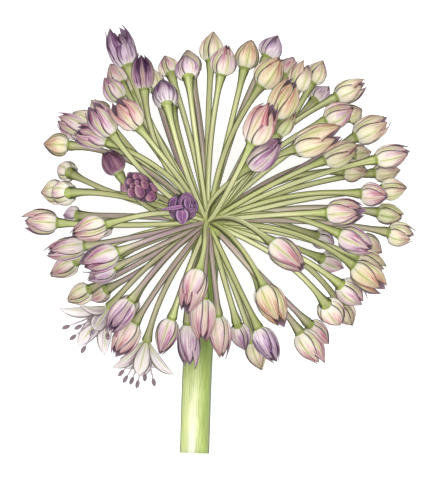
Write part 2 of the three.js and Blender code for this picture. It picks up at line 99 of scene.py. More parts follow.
# Each bud from its cup (x, y) to its tip (x, y), its width, how far forward it stands, how far its
# tip has opened, a tilt in degrees, its finish, and its turn: 0 has a tepal in front, 60 a parting.
BUDS = {
    "upper_left": [
        (-80, 155, -92, 189, 28, 1, 0.95, 0, "plum", 20),
        (-63, 131, -66, 164, 23, 1, 0.6, 0, "damson", 60),
        (-39, 112, -46, 141, 26, 1, 0, -45, "amethyst", 0),
        (-19, 140, -22, 165, 25, 0.8, 0, -35, "heather", 25),
        (-16, 148, -21, 175, 24, -1, 0, 0, "straw", 10),
        (-37, 148, -44, 169, 22, -1, 0, 0, "blush", 40),
        (-86, 138, -99, 160, 22, -1, 0, 0, "rose", 20),
        (-76, 128, -89, 149, 22, -1, 0, 0, "straw", 30),
        (-52, 131, -59, 158, 22, -1, 0, 0, "cream", 20),
        (-87, 121, -103, 144, 22, 0.4, 0, 0, "orchid", 30),
        (-68, 93, -88, 117, 28, 1, 1.0, 0, "peach", 45),
        (-94, 86, -113, 112, 27, 1, 0.9, 0, "orchid", 30),
        (-100, 79, -130, 90, 25, 0.8, 0.8, 0, "orchid", 15),
        (-123, 89, -149, 102, 24, 0.2, 0.7, 0, "orchid", 35),
        (-104, 106, -118, 124, 22, -1, 0, 0, "straw", 0),
        (-118, 98, -137, 111, 22, -0.9, 0, 0, "cream", 15),
        (-138, 76, -164, 78, 24, 0.5, 0, 0, "apricot", 0),
        (-136, 48, -151, 56, 22, -0.6, 0, -30, "blush", 10),
        (-146, 31, -170, 30, 26, -1, 0, 0, "cream", 20),
        (-134, 29, -156, 28, 25, 0.3, 0, -45, "blush", 25),
        (-88, 48, -100, 69, 23, 0.6, 0.6, 0, "mulberry", 15),
    ],
    "left": [
        (-149, -1, -181, 1, 26, 0.5, 0.8, 0, "blush", 0),
        (-130, 7, -148, 7, 20, -1, 0, 0, "lilac", 30),
        (-101, -3, -133, -13, 26, 1, 0.2, 0, "blush", 40),
        (-122, -24, -157, -30, 24, 0.5, 0.7, 0, "orchid", 15),
        (-132, -39, -160, -54, 22, -0.9, 0.1, 0, "blush", 20),
        (-89, -30, -121, -43, 27, 1, 0.6, 0, "orchid", 20),
        (-92, -45, -119, -58, 22, 0.5, 0, 0, "lilac", 10),
        (-101, -67, -122, -78, 22, -1, 0, 0, "rose", 0),
        (-118, -67, -143, -80, 22, -0.9, 0, 0, "cream", 30),
    ],
    "top": [
        (3, 160, 5, 192, 25, -0.8, 0, 0, "cream", 30),
        (13, 145, 19, 174, 27, 0.9, 0.15, 0, "blush", 20),
        (36, 152, 43, 181, 25, 0.5, 0.2, 0, "apricot", 5),
        (58, 164, 70, 187, 24, 0.1, 0, 0, "violet", 25),
        (52, 134, 72, 162, 30, 0.9, 0.15, 0, "apricot", 15),
        (76, 146, 86, 166, 22, -0.8, 0, 0, "rose", 10),
        (87, 130, 96, 157, 24, 0.5, 0.8, 0, "cream", 30),
        (103, 138, 115, 162, 22, -0.5, 0, 0, "cream", 25),
        (66, 103, 84, 137, 30, 1, 0.5, 0, "apricot", 50),
        (69, 86, 85, 108, 18, 0.7, 0.3, 0, "leaf", 20),
        (105, 120, 122, 137, 22, -0.8, 0, -15, "lilac", 10),
        (43, 77, 60, 112, 30, 1, 0.9, 0, "peach", 42),
        (41, 54, 72, 80, 28, 1, 0.2, 0, "heather", 30),
    ],
    "right": [
        (127, 124, 154, 137, 24, 0.2, 0.7, 0, "cream", 10),
        (116, 100, 144, 113, 26, 0.8, 0.2, 0, "blush", 25),
        (138, 104, 155, 113, 22, -0.6, 0, 0, "straw", 10),
        (146, 84, 177, 101, 27, 0.4, 0.7, 0, "cream", 20),
        (86, 72, 127, 87, 30, 1, 1.0, 0, "apricot", 25),
        (115, 61, 148, 75, 26, 0.5, 0.4, 0, "straw", 40),
        (145, 68, 165, 71, 20, -1, 0, 0, "straw", 0),
        (134, 51, 160, 51, 23, 0.2, 0, 0, "straw", 20),
        (166, 62, 198, 69, 24, 0.3, 0.6, 0, "blush", 15),
        (165, 49, 193, 52, 22, -0.6, 0, 0, "straw", 20),
        (151, 28, 178, 26, 24, 0.8, 0.2, 0, "rose", 20),
        (172, 32, 199, 34, 23, -0.5, 0, 0, "cream", 40),
        (117, 9, 150, 10, 27, 1, 0.6, 0, "blush", 10),
        (168, 10, 194, 6, 22, -0.6, 0.5, 0, "leaf", 15),
        (179, -10, 204, -15, 25, 0.3, 0.7, 0, "cream", 25),
    ],
    "lower_right": [
        (107, -13, 129, -22, 22, -1, 0, 0, "lilac", 20),
        (130, -12, 161, -27, 27, 1, 0.4, 0, "orchid", 10),
        (152, -16, 176, -31, 22, -0.9, 0, 0, "cream", 0),
        (148, -34, 175, -45, 22, -0.5, 0.6, 0, "straw", 20),
        (144, -43, 171, -64, 28, 0.9, 0.8, 0, "apricot", 10),
        (113, -36, 138, -47, 22, -1, 0, 0, "orchid", 15),
        (130, -61, 153, -79, 26, 0.5, 0.6, -20, "orchid", 30),
        (115, -79, 132, -102, 27, 0.8, 0.15, -40, "peach", 15),
        (132, -83, 145, -104, 22, -0.6, 0, 0, "straw", 30),
        (100, -101, 121, -122, 22, 0.2, 0, -20, "rose", 20),
        (91, -109, 112, -138, 26, 0.9, 0.6, 0, "blush", 25),
        (63, -21, 93, -46, 28, 1, 0.3, 0, "blush", 0),
        (55, -64, 72, -99, 29, 1, 0.5, 0, "apricot", 15),
        (50, -105, 66, -137, 24, 1, 0.35, 0, "violet", 20),
        (44, -118, 54, -149, 22, -0.6, 0, 0, "straw", 10),
        (29, -101, 37, -128, 21, 0.2, 0, -20, "heather", 35),
    ],
    "below": [
        (10, -93, 14, -134, 23, 0.5, 0.35, 0, "rose", 20),
        (-4, -76, -6, -117, 26, 0.7, 0.3, 0, "rose", 50),
        (-20, -101, -18, -141, 23, 0.5, 0.8, 0, "lilac", 0),
        (-9, -48, -21, -86, 27, 1, 0.55, 0, "rose", 10),
        (-36, -96, -47, -130, 23, 0.7, 0.2, 0, "orchid", 10),
        (-72, -100, -91, -131, 26, 1, 0.5, 0, "rose", 20),
        (-76, -78, -96, -106, 24, 1, 0.6, 0, "heather", 55),
    ],
}

# Four of the foremost stalks rise through these points before they arch over to their cups
ARCHES = {(41, 54): (-4, 22), (63, -21): (22, 8), (55, -64): (22, -8), (-9, -48): (-7, -8)}

# Behind each of the foremost buds, and behind the knot, stands a bud of the side that lies down
FELLOW_WITHIN = 136
FELLOW_WIDTH = 23
FELLOW_LENGTH = 0.85
FELLOW_SCATTER = 3
FELLOW_FINISHES = ["rose", "blush", "apricot", "cream", "lilac", "orchid", "leaf"]
LYING_WITHIN = 92
KNOT_ROW = (-66, 26, -91, 46)

# A bud's rough girth, as shares of its radius, at places along it: its stalk lies below 0, its cup
# at 0 and its tip at 1
GIRTHS = np.array([(-0.8, 0.33), (-0.5, 0.33), (-0.2, 0.38), (0.04, 0.6), (0.3, 1.04),
                   (0.62, 0.95), (0.92, 0.45)])
# A bud's outline, and how much of its half angle a closed and a parted tepal spans on each side
BUD_PROFILE = [(0, 0.36), (0.06, 0.62), (0.16, 0.86), (0.33, 1.0), (0.52, 0.97), (0.7, 0.77),
               (0.86, 0.43), (0.95, 0.2), (1, 0.08)]
CLOSED_SPREAD = [(0, 0.85), (0.3, 1), (0.6, 0.97), (0.82, 0.8), (0.93, 0.55), (1, 0.0)]
PARTED_SPREAD = [(0, 0.85), (0.3, 1), (0.55, 0.9), (0.75, 0.66), (0.9, 0.4), (1, 0.0)]
OUTER_TEPAL = {"half_angle": 50, "longer": 0.0, "tucked": 0.0}
INNER_TEPAL = {"half_angle": 62, "longer": 0.03, "tucked": 0.26}
BUD_TEPAL = {"length": (0.93, 1.0), "parted_longer": [0.03, 0.08, 0.2], "flare": (0.25, 0.5),
             "curl": (-0.1, 0.3), "flare_from": (0.72, 0.35), "thick": 0.28, "rib": 0.07,
             "rib_half": 0.16}
BUD_CORE = {"shares": np.linspace(0.02, 0.72, 6), "inset": 0.75, "least": 0.2, "sides": 12,
            "ribs": 6, "rib": 0.08}
NEAR_GRID = (12, 8)  # faces round and along a tepal's skin
FAR_GRID = (8, 6)

# Open flowers: cup (x, y, forward), mouth (x, y), a tepal's length, and the tips of tepals and
# anthers (x, y, how far they come forward)
FLOWERS = {
    "flower_left": SimpleNamespace(
        cup=(-98, -85, 0.6), mouth=(-124, -117), reach=52,
        tepals=[(-147, -86, 0.6), (-128, -81, 1), (-112, -106, 1),
                (-130, -124, -1), (-103, -133, -0.5), (-121, -112, -1)],
        anthers=[(-140, -104, 0.6), (-133, -114, 0.7), (-123, -126, 0.5),
                 (-99, -113, 0.55), (-114, -109, 0), (-128, -104, 0.2)]),
    "flower_below": SimpleNamespace(
        cup=(-61, -119, 0.3), mouth=(-69, -152), reach=46,
        tepals=[(-69, -152, 1), (-95, -145, 0.6), (-34, -152, 0.6),
                (-50, -147, -1), (-82, -147, -1), (-66, -155, -1)],
        anthers=[(-86, -150, 0.5), (-82, -156, 0.3), (-70, -161, 0.5),
                 (-54, -159, 0.4), (-63, -155, -0.6), (-76, -158, -0.6)]),
}
BLADE_WIDTH = [(0, 0.32), (0.2, 0.7), (0.5, 1.0), (0.75, 0.8), (0.9, 0.4), (1, 0.0)]
OPEN_BLADE = {"width": 4.3, "ahead": 0.4, "aside": 0.9, "bend": 0.4, "bow": 1.2, "upturned": 0.8}
BLADE_GRID = (12, 12)
BLADE_HOLLOW = 0.22
LEAF_THICK = 0.12
OVARY_SHAPE = {"from": 0.4, "to": 4.4, "radii": [0, 0.7, 1.1, 1.25, 1.2, 1.0, 0.6, 0.2, 0.0],
               "sides": 12, "ribs": 3, "rib": 0.12}
ANTHER_SHAPE = {"from": -1.1, "to": 1.3, "radii": [0, 0.3, 0.5, 0.58, 0.6, 0.58, 0.5, 0.3, 0],
                "sides": 10, "ribs": 2, "rib": 0.12}
FILAMENT_SHAPE = {"from": 1.2, "radii": [0, 0.28, 0.25, 0.24, 0.22, 0.2, 0.16, 0], "sides": 8,
                  "tone": 0.2}
FLOWER_MAUVE = 0.4

# The knot: its middle (x, y) and height, then each bulbil's middle (x, y), width, length, and the
# way it points, right and up
KNOT = {"middle": (-66, 34), "rise": 27, "axis": (-0.2, 0.1, 1.0), "core": 2.2, "spread": 3.6,
        "sunk": 0.4, "swell": 1.16, "taper": 0.15, "rings": 13, "sides": 16, "mauve": 0.3}
# the dark plum body under the bulbils: the bracts at its upper end, elsewhere painted shade in the gaps
# between the bulbils
KNOT_BRACTS_AND_SHADE = {"half": 4.4, "radius": 3.1, "way": (0.75, -0.66, 0.0), "sides": 20}
BULBILS = [
    (-67, 30, 10, 15, 0.43, -0.9), (-75.3, 28.5, 7.8, 10.5, 0.35, -0.94),
    (-56.5, 25.5, 11, 13.5, 0.3, -0.95), (-62.3, 36.5, 7, 10.5, 0.5, -0.87),
    (-77, 39.5, 6.5, 7, 0.5, -0.8), (-70.5, 44.5, 7, 8, 0.7, -0.7), (-76.5, 46, 5.5, 6.5, 0.9, -0.4),
    (-63.5, 43, 5, 10, 0.8, -0.6), (-54, 34, 5, 13, 0.7, -0.7), (-80.5, 35, 4.5, 9, 0.3, -0.95),
    (-69.5, 38.5, 5.5, 6, 0.6, -0.8), (-74, 35.5, 5.5, 6, 0.4, -0.9),
]

# The folded bud: six tepals wound round it, some that lie on it along plotted points, each with its
# width there and its lift, and two bent out of it, from a point to a point, with their width
FOLDED = {
    "middle": (-25, 14), "rise": 29, "axis": (0.12, -0.1, 1.0), "length": 9, "width": 29,
    "flat": 0.96,
    "lying": [([(-29, 8), (-35, 17), (-30, 25)], 9, 0.05),
              ([(-15, 6), (-13, 15), (-16, 25)], 8, 0.05),
              ([(-22, 8), (-16, 6.5), (-12, 9)], 6, 0.12),
              ([(-23, 14), (-17, 11), (-12, 13)], 6, 0.2),
              ([(-27, 16), (-26, 22), (-21, 26.5), (-16, 24), (-14, 17)], 5, 0.25),
              ([(-19.5, 13), (-20, 19), (-19, 25)], 8.5, 0.35)],
    "bent": [((-25, 15), (-47, 11.5), 1.2), ((-26, 11), (-24, -3), 3.8)],
}
WOUND_WIDTH = [(0, 0.3), (0.2, 0.85), (0.5, 1.1), (0.75, 0.9), (0.9, 0.5), (1, 0.0)]
LYING_WIDTH = [(0, 0.4), (0.25, 0.85), (0.55, 1.0), (0.8, 0.75), (1, 0.0)]
BENT_WIDTH = [(0, 0.7), (0.2, 1.0), (0.45, 0.95), (0.7, 0.6), (0.88, 0.28), (1, 0.0)]
WOUND = {"layers": 6, "turn": math.radians(137.5), "first_turn": math.radians(70), "inmost": 0.86,
         "cup_angle": 2.6, "raised": 0.035, "thick": 0.06, "grid": (16, 18)}
LYING_GRID = (12, 14)
LYING_RAISED = 0.2
BENT = {"lift": 0.5, "drop": 1.6}


def mix(low, high, share):
    return low + (high - low) * share


def unit(way):
    return way / np.linalg.norm(way)


def plotted(x, y, z=0.0):
    return np.array([x * PLOT, y * PLOT, z])


def through(points, at):
    """Height at a place along a smooth line through a few points."""
    x, y = np.array(points, float).T
    slope = np.gradient(y, x)
    index = int(np.clip(np.searchsorted(x, at) - 1, 0, len(x) - 2))
    span = x[index + 1] - x[index]
    t = min(max((at - x[index]) / span, 0.0), 1.0)
    return ((1 + 2 * t) * (1 - t) ** 2 * y[index] + t * (1 - t) ** 2 * span * slope[index]
            + t * t * (3 - 2 * t) * y[index + 1] + t * t * (t - 1) * span * slope[index + 1])


def smooth(low, high, at):
    t = min(max((at - low) / (high - low), 0.0), 1.0)
    return t * t * (3 - 2 * t)


# Where the buds stand

def depth_at(x, y, forward):
    """How far a bud stands in front of the umbel's middle, and the head's radius that way."""
    out = math.hypot(x, y) * PLOT
    scapeward = min(max(-y * PLOT / HEAD_RADIUS, 0), 1)
    reach = mix(HEAD_RADIUS, RADIUS_BY_SCAPE, scapeward)
    return forward * math.sqrt(max(reach ** 2 - out ** 2, 0)), reach


def plot_bud(name, row):
    """A bud from its row: its middle, the way it points, its size and how it has opened."""
    cup_x, cup_y, tip_x, tip_y, width, forward, opened, tilt, finish, turn = row
    middle_x, middle_y = (cup_x + tip_x) / 2, (cup_y + tip_y) / 2
    depth, reach = depth_at(middle_x, middle_y, forward)
    lean = NOD * math.asin(depth / reach) + math.radians(tilt)
    seen = plotted(tip_x - cup_x, tip_y - cup_y)
    axis = unit(seen) * math.cos(lean)
    axis[2] = math.sin(lean)
    return SimpleNamespace(
        name=name, middle=plotted(middle_x, middle_y, depth), axis=axis,
        length=np.linalg.norm(seen) / math.cos(lean), radius=width * PLOT / 2,
        arch=ARCHES.get((cup_x, cup_y)), forward=forward, opened=opened, finish=finish,
        turn=math.radians(turn), lies=False)


def girths(bud):
    along = (GIRTHS[:, 0] - 0.5) * bud.length
    return bud.middle + along[:, None] * bud.axis, GIRTHS[:, 1] * bud.radius


def lowest(bud):
    at, radius = girths(bud)
    return float((at[:, 2] - radius).min())


def lack(one, other):
    """How much closer two buds stand than they may; far ones are passed over."""
    reach = 0.8 * (one.length + other.length)
    apart = one.middle - other.middle
    if apart @ apart > reach ** 2:
        return 0.0
    (mine, my_radius), (yours, your_radius) = girths(one), girths(other)
    distance = np.linalg.norm(mine[:, None] - yours[None], axis=2)
    return max(float((my_radius[:, None] + your_radius[None] + CLEAR - distance).max()), 0.0)


def settle(buds):
    """Buds that would touch part in depth, a little at a time, the one further forward moving up."""
    floor = -UMBEL[2] + CLEAR
    for _ in range(SETTLING_ROUNDS):
        for index, one in enumerate(buds):
            for other in buds[index + 1:]:
                part = lack(one, other) / 2
                up = 1 if one.forward >= other.forward else -1
                one.middle[2] += up * part
                other.middle[2] -= up * part
        for bud in buds:
            if bud.lies:
                bud.middle[2] -= lowest(bud) + UMBEL[2] + FLAT
            else:
                bud.middle[2] += max(floor - lowest(bud), 0)


def seeded(seed):
    """Numbers from 0 to 1, the same that the part's own source draws."""
    state = seed
    while True:
        state = state * 16807 % 2147483647
        yield state / 2147483647


def fellow_buds(chance):
    """The buds of the side that lies down, a little shorter and shifted from those before them."""
    scatter = seeded(SCATTER_SEED)
    foremost = [row for rows in BUDS.values() for row in rows
                if row[5] == 1 and math.hypot(row[0] + row[2], row[1] + row[3]) / 2 < FELLOW_WITHIN]
    fellows = []
    for index, row in enumerate([KNOT_ROW] + foremost):
        right = (next(scatter) - 0.5) * FELLOW_SCATTER * 2
        up = (next(scatter) - 0.5) * FELLOW_SCATTER * 2
        cup_x, cup_y, tip_x, tip_y = row[:4]
        ends = (cup_x + right, cup_y + up, mix(cup_x, tip_x, FELLOW_LENGTH) + right,
                mix(cup_y, tip_y, FELLOW_LENGTH) + up)
        finish = chance.choice(FELLOW_FINISHES)
        fellow = plot_bud(f"underside_{index + 1}",
                          ends + (FELLOW_WIDTH, -1, 0, 0, finish, chance.uniform(0, 60)))
        fellow.lies = math.hypot(cup_x + tip_x, cup_y + tip_y) / 2 < LYING_WITHIN
        fellows.append(fellow)
    return fellows


def mauve_share(cup, chance):
    """How strongly a stalk is flushed with mauve: most are towards the lower left."""
    angle = math.degrees(math.atan2(cup[1], cup[0])) % 360
    likely = next(share for start, end, below, share in MAUVE_STALKS
                  if start <= angle <= end and cup[2] < below)
    return chance.uniform(*MAUVE_DEPTH) if chance.random() < likely else 0.0


# Colours and materials

FACTOR, FIRST, SECOND, MIXED = 0, 6, 7, 2  # sockets of a Mix node set to colours
# the tepals' inner faces, painted darker: painted shade inside the bud
INSIDE_SHADE = "#a38ba4"
# a dark line along the tepals' margins: painted shade where they overlap
MARGIN_SHADE = "#43333d"
DUSKY = "#b3a69f"
# dark green of the painted shade lines along the sides of stalks and scape
STALK_EDGE_SHADE = "#343b20"
TONE_APART = 57.0  # parts the noise of one tone from that of the next

# About a skin's own size in millimetres, across or round it and along it, for the patterns on it
BUD_SKIN = (5.2, 8.0)
OPEN_SKIN = (4.5, 12.0)
FOLDED_SKIN = (4.5, 8.0)
BULBIL_SKIN = (6.4, 3.0)
STALK_SKIN = (4.62, 35.0)
SCAPE_SKIN = (23.2, 57.6)


def linear(code):
    """A colour given as sRGB hex, turned to the linear values that a shader takes."""
    parts = [int(code[place:place + 2], 16) / 255 for place in (1, 3, 5)]
    return tuple(c / 12.92 if c <= 0.04045 else ((c + 0.055) / 1.055) ** 2.4 for c in parts) + (1.0,)


def node(tree, kind, inputs=None, **settings):
    """Adds a node with its settings; an input is a value, or an output that it is linked to."""
    made = tree.nodes.new(kind)
    for name, value in settings.items():
        setattr(made, name, value)
    for socket, value in (inputs or {}).items():
        if isinstance(value, bpy.types.NodeSocket):
            tree.links.new(value, made.inputs[socket])
        else:
            made.inputs[socket].default_value = value
    return made


def new_material(name, constants):
    """A new material, with constants set on its shader."""
    material = bpy.data.materials.new(name)
    material.use_nodes = True
    for socket, value in constants.items():
        material.node_tree.nodes["Principled BSDF"].inputs[socket].default_value = value
    return material, material.node_tree


def plant_material(name, roughness, specular, soft):
    """A new material of plant tissue: soft light inside, a thin waxy skin outside."""
    return new_material(name, {
        "Roughness": roughness, "Specular IOR Level": specular, "IOR": 1.42,
        "Subsurface Weight": soft, "Subsurface Radius": (1.0, 0.8, 0.5),
        "Subsurface Scale": 0.4 * MM})


def painted(tree, ground, layers):
    """A ground colour with layers over it, each given as its blend, its colour, its strength and
    where it lies. Where it lies is told by values that narrow it, each alone or with the two ends
    of a smooth step on it and, unless they are 0 and 1, the levels there."""
    colour = linear(ground)
    for blend, code, strength, *where in layers:
        share = strength
        for value, *step in where:
            if step:
                value = node(tree, "ShaderNodeMapRange", dict(enumerate((value, *step))),
                             interpolation_type="SMOOTHSTEP").outputs[0]
            share = node(tree, "ShaderNodeMath", {0: value, 1: share}, operation="MULTIPLY").outputs[0]
        over = node(tree, "ShaderNodeMix", {FACTOR: share, FIRST: colour, SECOND: linear(code)},
                    data_type="RGBA", blend_type=blend, clamp_factor=True)
        colour = over.outputs[MIXED]
    return colour


def finished(material, colour, height=None, strength=0.4, relief=0.08):
    """Gives a material its colour, and low relief, in millimetres, where a height is given."""
    tree = material.node_tree
    shader = tree.nodes["Principled BSDF"]
    tree.links.new(colour, shader.inputs["Base Color"])
    if height is not None:
        bump = node(tree, "ShaderNodeBump", {"Strength": strength, "Distance": relief * MM,
                                             "Height": height})
        tree.links.new(bump.outputs[0], shader.inputs["Normal"])
    return material


def skin_place(tree):
    """Place on a skin: once round it, and along it, each 0 to 1."""
    uv = node(tree, "ShaderNodeUVMap")
    parts = node(tree, "ShaderNodeSeparateXYZ", {0: uv.outputs[0]})
    return parts.outputs[0], parts.outputs[1]


def tepal_place(tree):
    """Place on a tepal: across it 0 to 1, distance from its midrib 0 to 1, along it 0 to 1, and
    whether this is its inner face. The skin's u goes once round the tepal."""
    around, along = skin_place(tree)
    twice = node(tree, "ShaderNodeMath", {0: around, 1: 2.0}, operation="MULTIPLY")
    across = node(tree, "ShaderNodeMath", {0: twice.outputs[0]}, operation="FRACT")
    centred = node(tree, "ShaderNodeMath", {0: across.outputs[0], 1: 2.0, 2: -1.0},
                   operation="MULTIPLY_ADD")
    aside = node(tree, "ShaderNodeMath", {0: centred.outputs[0]}, operation="ABSOLUTE")
    inner = node(tree, "ShaderNodeMath", {0: around, 1: 0.5}, operation="GREATER_THAN")
    return SimpleNamespace(across=across.outputs[0], aside=aside.outputs[0], along=along,
                           inner=inner.outputs[0])


def streaks(tree, across, along, size, wide, long):
    """Fine lines along a skin of a known size, about so wide and long in millimetres: noise drawn
    out along it, different on each by its tone."""
    tone = node(tree, "ShaderNodeAttribute", attribute_name="tone")
    place = node(tree, "ShaderNodeCombineXYZ", {0: across, 1: along, 2: tone.outputs["Fac"]})
    cycles = (size[0] / wide, size[1] / long, TONE_APART)
    drawn = node(tree, "ShaderNodeVectorMath", {0: place.outputs[0], 1: cycles}, operation="MULTIPLY")
    return node(tree, "ShaderNodeTexNoise", {"Vector": drawn.outputs[0], "Scale": 1.0, "Detail": 3.0,
                                             "Roughness": 0.6}).outputs[0]


def side_wave(tree, around):
    """How far round to its sides a round skin's point lies: -1 above and below, 1 at the sides."""
    turned = node(tree, "ShaderNodeMath", {0: around, 1: 4 * math.pi}, operation="MULTIPLY")
    wave = node(tree, "ShaderNodeMath", {0: turned.outputs[0]}, operation="COSINE")
    return node(tree, "ShaderNodeMath", {0: wave.outputs[0], 1: -1.0}, operation="MULTIPLY").outputs[0]


def tepal_material(name, ground, flush, second, vein, rise, veined, wash, margin=MARGIN_SHADE):
    """A young tepal: waxy skin, a coloured flush in lengthwise lines, a greenish midvein, a dusky
    tip and a thin line along its margins, dark by default as painted shade where the tepals overlap.
    Painted shade darkens it where its skin turns sideways, an outline round the bud as seen from
    above, and its inner face is painted darker, as painted shade inside the bud. The veins are
    drawn 0.4 mm apart, as coarse as they need to show."""
    material, tree = plant_material(name, 0.5, 0.3, 0.12)
    leaf = tepal_place(tree)
    aside, along = leaf.aside, leaf.along
    fine = streaks(tree, leaf.across, along, BUD_SKIN, 0.4, 5.0)
    broad = streaks(tree, leaf.across, along, BUD_SKIN, 1.53, 10.0)
    patches = streaks(tree, leaf.across, along, BUD_SKIN, 3.25, 6.67)
    lines = [(fine, 0.4, 0.58, 0.25, 1.0), (broad, 0.36, 0.56, 0.15, 1.0)]
    below_tip = (along, 0.95, 0.6)
    flank = node(tree, "ShaderNodeAttribute", attribute_name="flank").outputs["Fac"]
    colour = painted(tree, ground, [
        ("MIX", "#f0eee1", 0.7, (along, 0.3, 0.02)),
        ("MIX", flush, wash, (along, 0.12, 0.8), (aside, 0.1, 0.75, 0.35, 1.0),
         (fine, 0.3, 0.6, 0.6, 1.0)),
        ("MIX", flush, 1.0, *lines, (along, 0.05, rise), (aside, 0.0, 0.4, 0.45, 1.0)),
        ("MIX", second, 0.65, (patches, 0.42, 0.6), (broad, 0.55, 0.42, 0.3, 1.0), (along, 0.1, 0.5)),
        ("MIX", flush, 1.3 - rise, *lines, (along, 0.45, 1.0)),
        ("MIX", vein, veined, (aside, 0.3, 0.02), (along, 0.06, 0.3), below_tip),
        ("MULTIPLY", DUSKY, 0.9, (along, 0.4, 0.95), (fine, 0.3, 0.6, 0.4, 1.0)),
        ("MIX", "#7d7450", 0.55, (aside, 0.07, 0.02), below_tip, (fine, 0.3, 0.6)),
        # a thin line along the margins: the dark default is painted shade where the tepals overlap;
        # mulberry's pale line is its own colour
        ("MIX", margin, 0.82, (aside, 0.85, 0.96)),
        # painted shade: darker where the skin turns sideways, an outline round the bud as seen from above
        ("MULTIPLY", "#6a5860", 0.85, (flank, 0.56, 0.9)),
        # inner faces painted darker: painted shade inside the bud
        ("MIX", INSIDE_SHADE, 0.75, (leaf.inner,)),
    ])
    return finished(material, colour, fine)


# A finish: ground, flush, second flush and midvein colours, how far up the flush is full, how strong
# the midvein is, how strongly the flush washes over the upper half, and a margin of its own, if any
FINISHES = {
    "plum": ("#f6e0ef", "#4d1552", "#a068a0", "#d8bbd2", 0.3, 0.2, 1.2),
    "mulberry": ("#94647f", "#47203c", "#7a4868", "#a98090", 0.5, 0.4, 0.5, "#c99fad"),
    "damson": ("#d4abc2", "#3b1342", "#703a68", "#a89a5c", 0.3, 0.4, 1.3),
    "amethyst": ("#f4e6ec", "#4f1a4e", "#97638f", "#c79abc", 0.15, 0.2, 2.2),
    "violet": ("#faeef4", "#5e1c64", "#a97bad", "#d3adc9", 0.45, 0.25, 0.7),
    "heather": ("#f6e4e4", "#84407e", "#a97bb0", "#cbbd9c", 0.4, 0.4, 0.4),
    "lilac": ("#f8eeec", "#925689", "#b993bc", "#cfb4c4", 0.6, 0.35, 0.3),
    "orchid": ("#f5e9e2", "#a85a86", "#bf98bc", "#c2c883", 0.6, 0.7, 0.25),
    "rose": ("#f7ecde", "#bd6a84", "#bea2c0", "#d8c89f", 0.65, 0.5, 0.3),
    "blush": ("#f7efdc", "#c1758a", "#c3a6c0", "#c8cd85", 0.7, 0.7, 0.2),
    "peach": ("#f6ead6", "#c4687a", "#c69ea8", "#d3ce90", 0.65, 0.5, 0.3),
    "apricot": ("#f6edd0", "#c3806a", "#cdc092", "#c5ca7c", 0.75, 0.7, 0.25),
    "cream": ("#f6efd9", "#c8928a", "#ced593", "#cbd088", 0.85, 0.6, 0.12),
    "straw": ("#ece3c8", "#b68886", "#c4c78f", "#c0bf80", 0.8, 0.5, 0.1),
    "leaf": ("#e7eac0", "#c39288", "#c3cb86", "#a3b766", 0.85, 0.8, 0.1),
}
SLOT_FINISHES = {
    "plum_tepals": ["plum", "mulberry", "damson"],
    "lilac_tepals": ["violet", "amethyst", "heather", "lilac", "orchid"],
    "rose_tepals": ["rose", "blush"],
    "peach_tepals": ["peach", "apricot"],
    "cream_tepals": ["cream", "straw"],
    "green_tepals": ["leaf"],
}
SLOTS = {finish: slot for slot, finishes in SLOT_FINISHES.items() for finish in finishes}


def stalk_material():
    """Fresh green stalks, some flushed with mauve and greener towards their cups. Towards the middle of
    the umbel, where they crowd together in shade, they are painted paler and given a faint glow:
    painted light. Their sides are painted darker, with a dark line along each: painted shade as
    seen from above."""
    material, tree = plant_material("fresh_green_stalk", 0.5, 0.35, 0.1)
    around, along = skin_place(tree)
    fine = streaks(tree, around, along, STALK_SKIN, 0.33, 17.5)
    broad = streaks(tree, around, along, STALK_SKIN, 0.66, 50.0)
    # how far round to the sides: the mask of the painted side shade
    shaded_sides = side_wave(tree, around)
    tone = node(tree, "ShaderNodeAttribute", attribute_name="tone").outputs["Fac"]
    mauve = node(tree, "ShaderNodeAttribute", attribute_name="mauve").outputs["Fac"]
    colour = painted(tree, "#eeefc4", [
        ("MIX", "#a6ba5c", 0.9, (along, 0.55, 0.95)),
        # painted light: darker away from the umbel's middle, so that the crowded middle reads paler
        ("MULTIPLY", "#e2e2ca", 0.35, (along, 0.12, 0.5)),
        ("MULTIPLY", "#d2d6b3", 0.5, (tone, 0.35, 0.9), (along, 0.92, 0.7)),
        ("MIX", "#b890ba", 0.9, (mauve,), (along, 0.88, 0.6),
         (fine, 0.35, 0.58, 0.5, 1.0)),
        ("MULTIPLY", "#c4c5a6", 0.6, (fine, 0.42, 0.66)),
        ("MIX", "#9c9674", 0.5, (broad, 0.47, 0.6), (along, 0.1, 0.5, 0.5, 1.0)),
        # painted shade: darker towards the sides as seen from above
        ("MULTIPLY", "#b9bf7c", 0.72, (shaded_sides, -0.95, 0.1)),
        # painted shade: a dark line along each side, fainter near the umbel's middle
        ("MIX", STALK_EDGE_SHADE, 0.88, (shaded_sides, -0.1, 0.35), (along, 0.0, 0.3, 0.6, 1.0)),
    ])
    # a faint glow near the umbel's middle: painted light where the stalks crowd together in shade
    glow = node(tree, "ShaderNodeMapRange", {0: along, 1: 0.6, 2: 0.0, 3: 0.02, 4: 0.28},
                interpolation_type="SMOOTHSTEP")
    shader = tree.nodes["Principled BSDF"]
    tree.links.new(colour, shader.inputs["Emission Color"])
    tree.links.new(glow.outputs[0], shader.inputs["Emission Strength"])
    return finished(material, colour, fine)


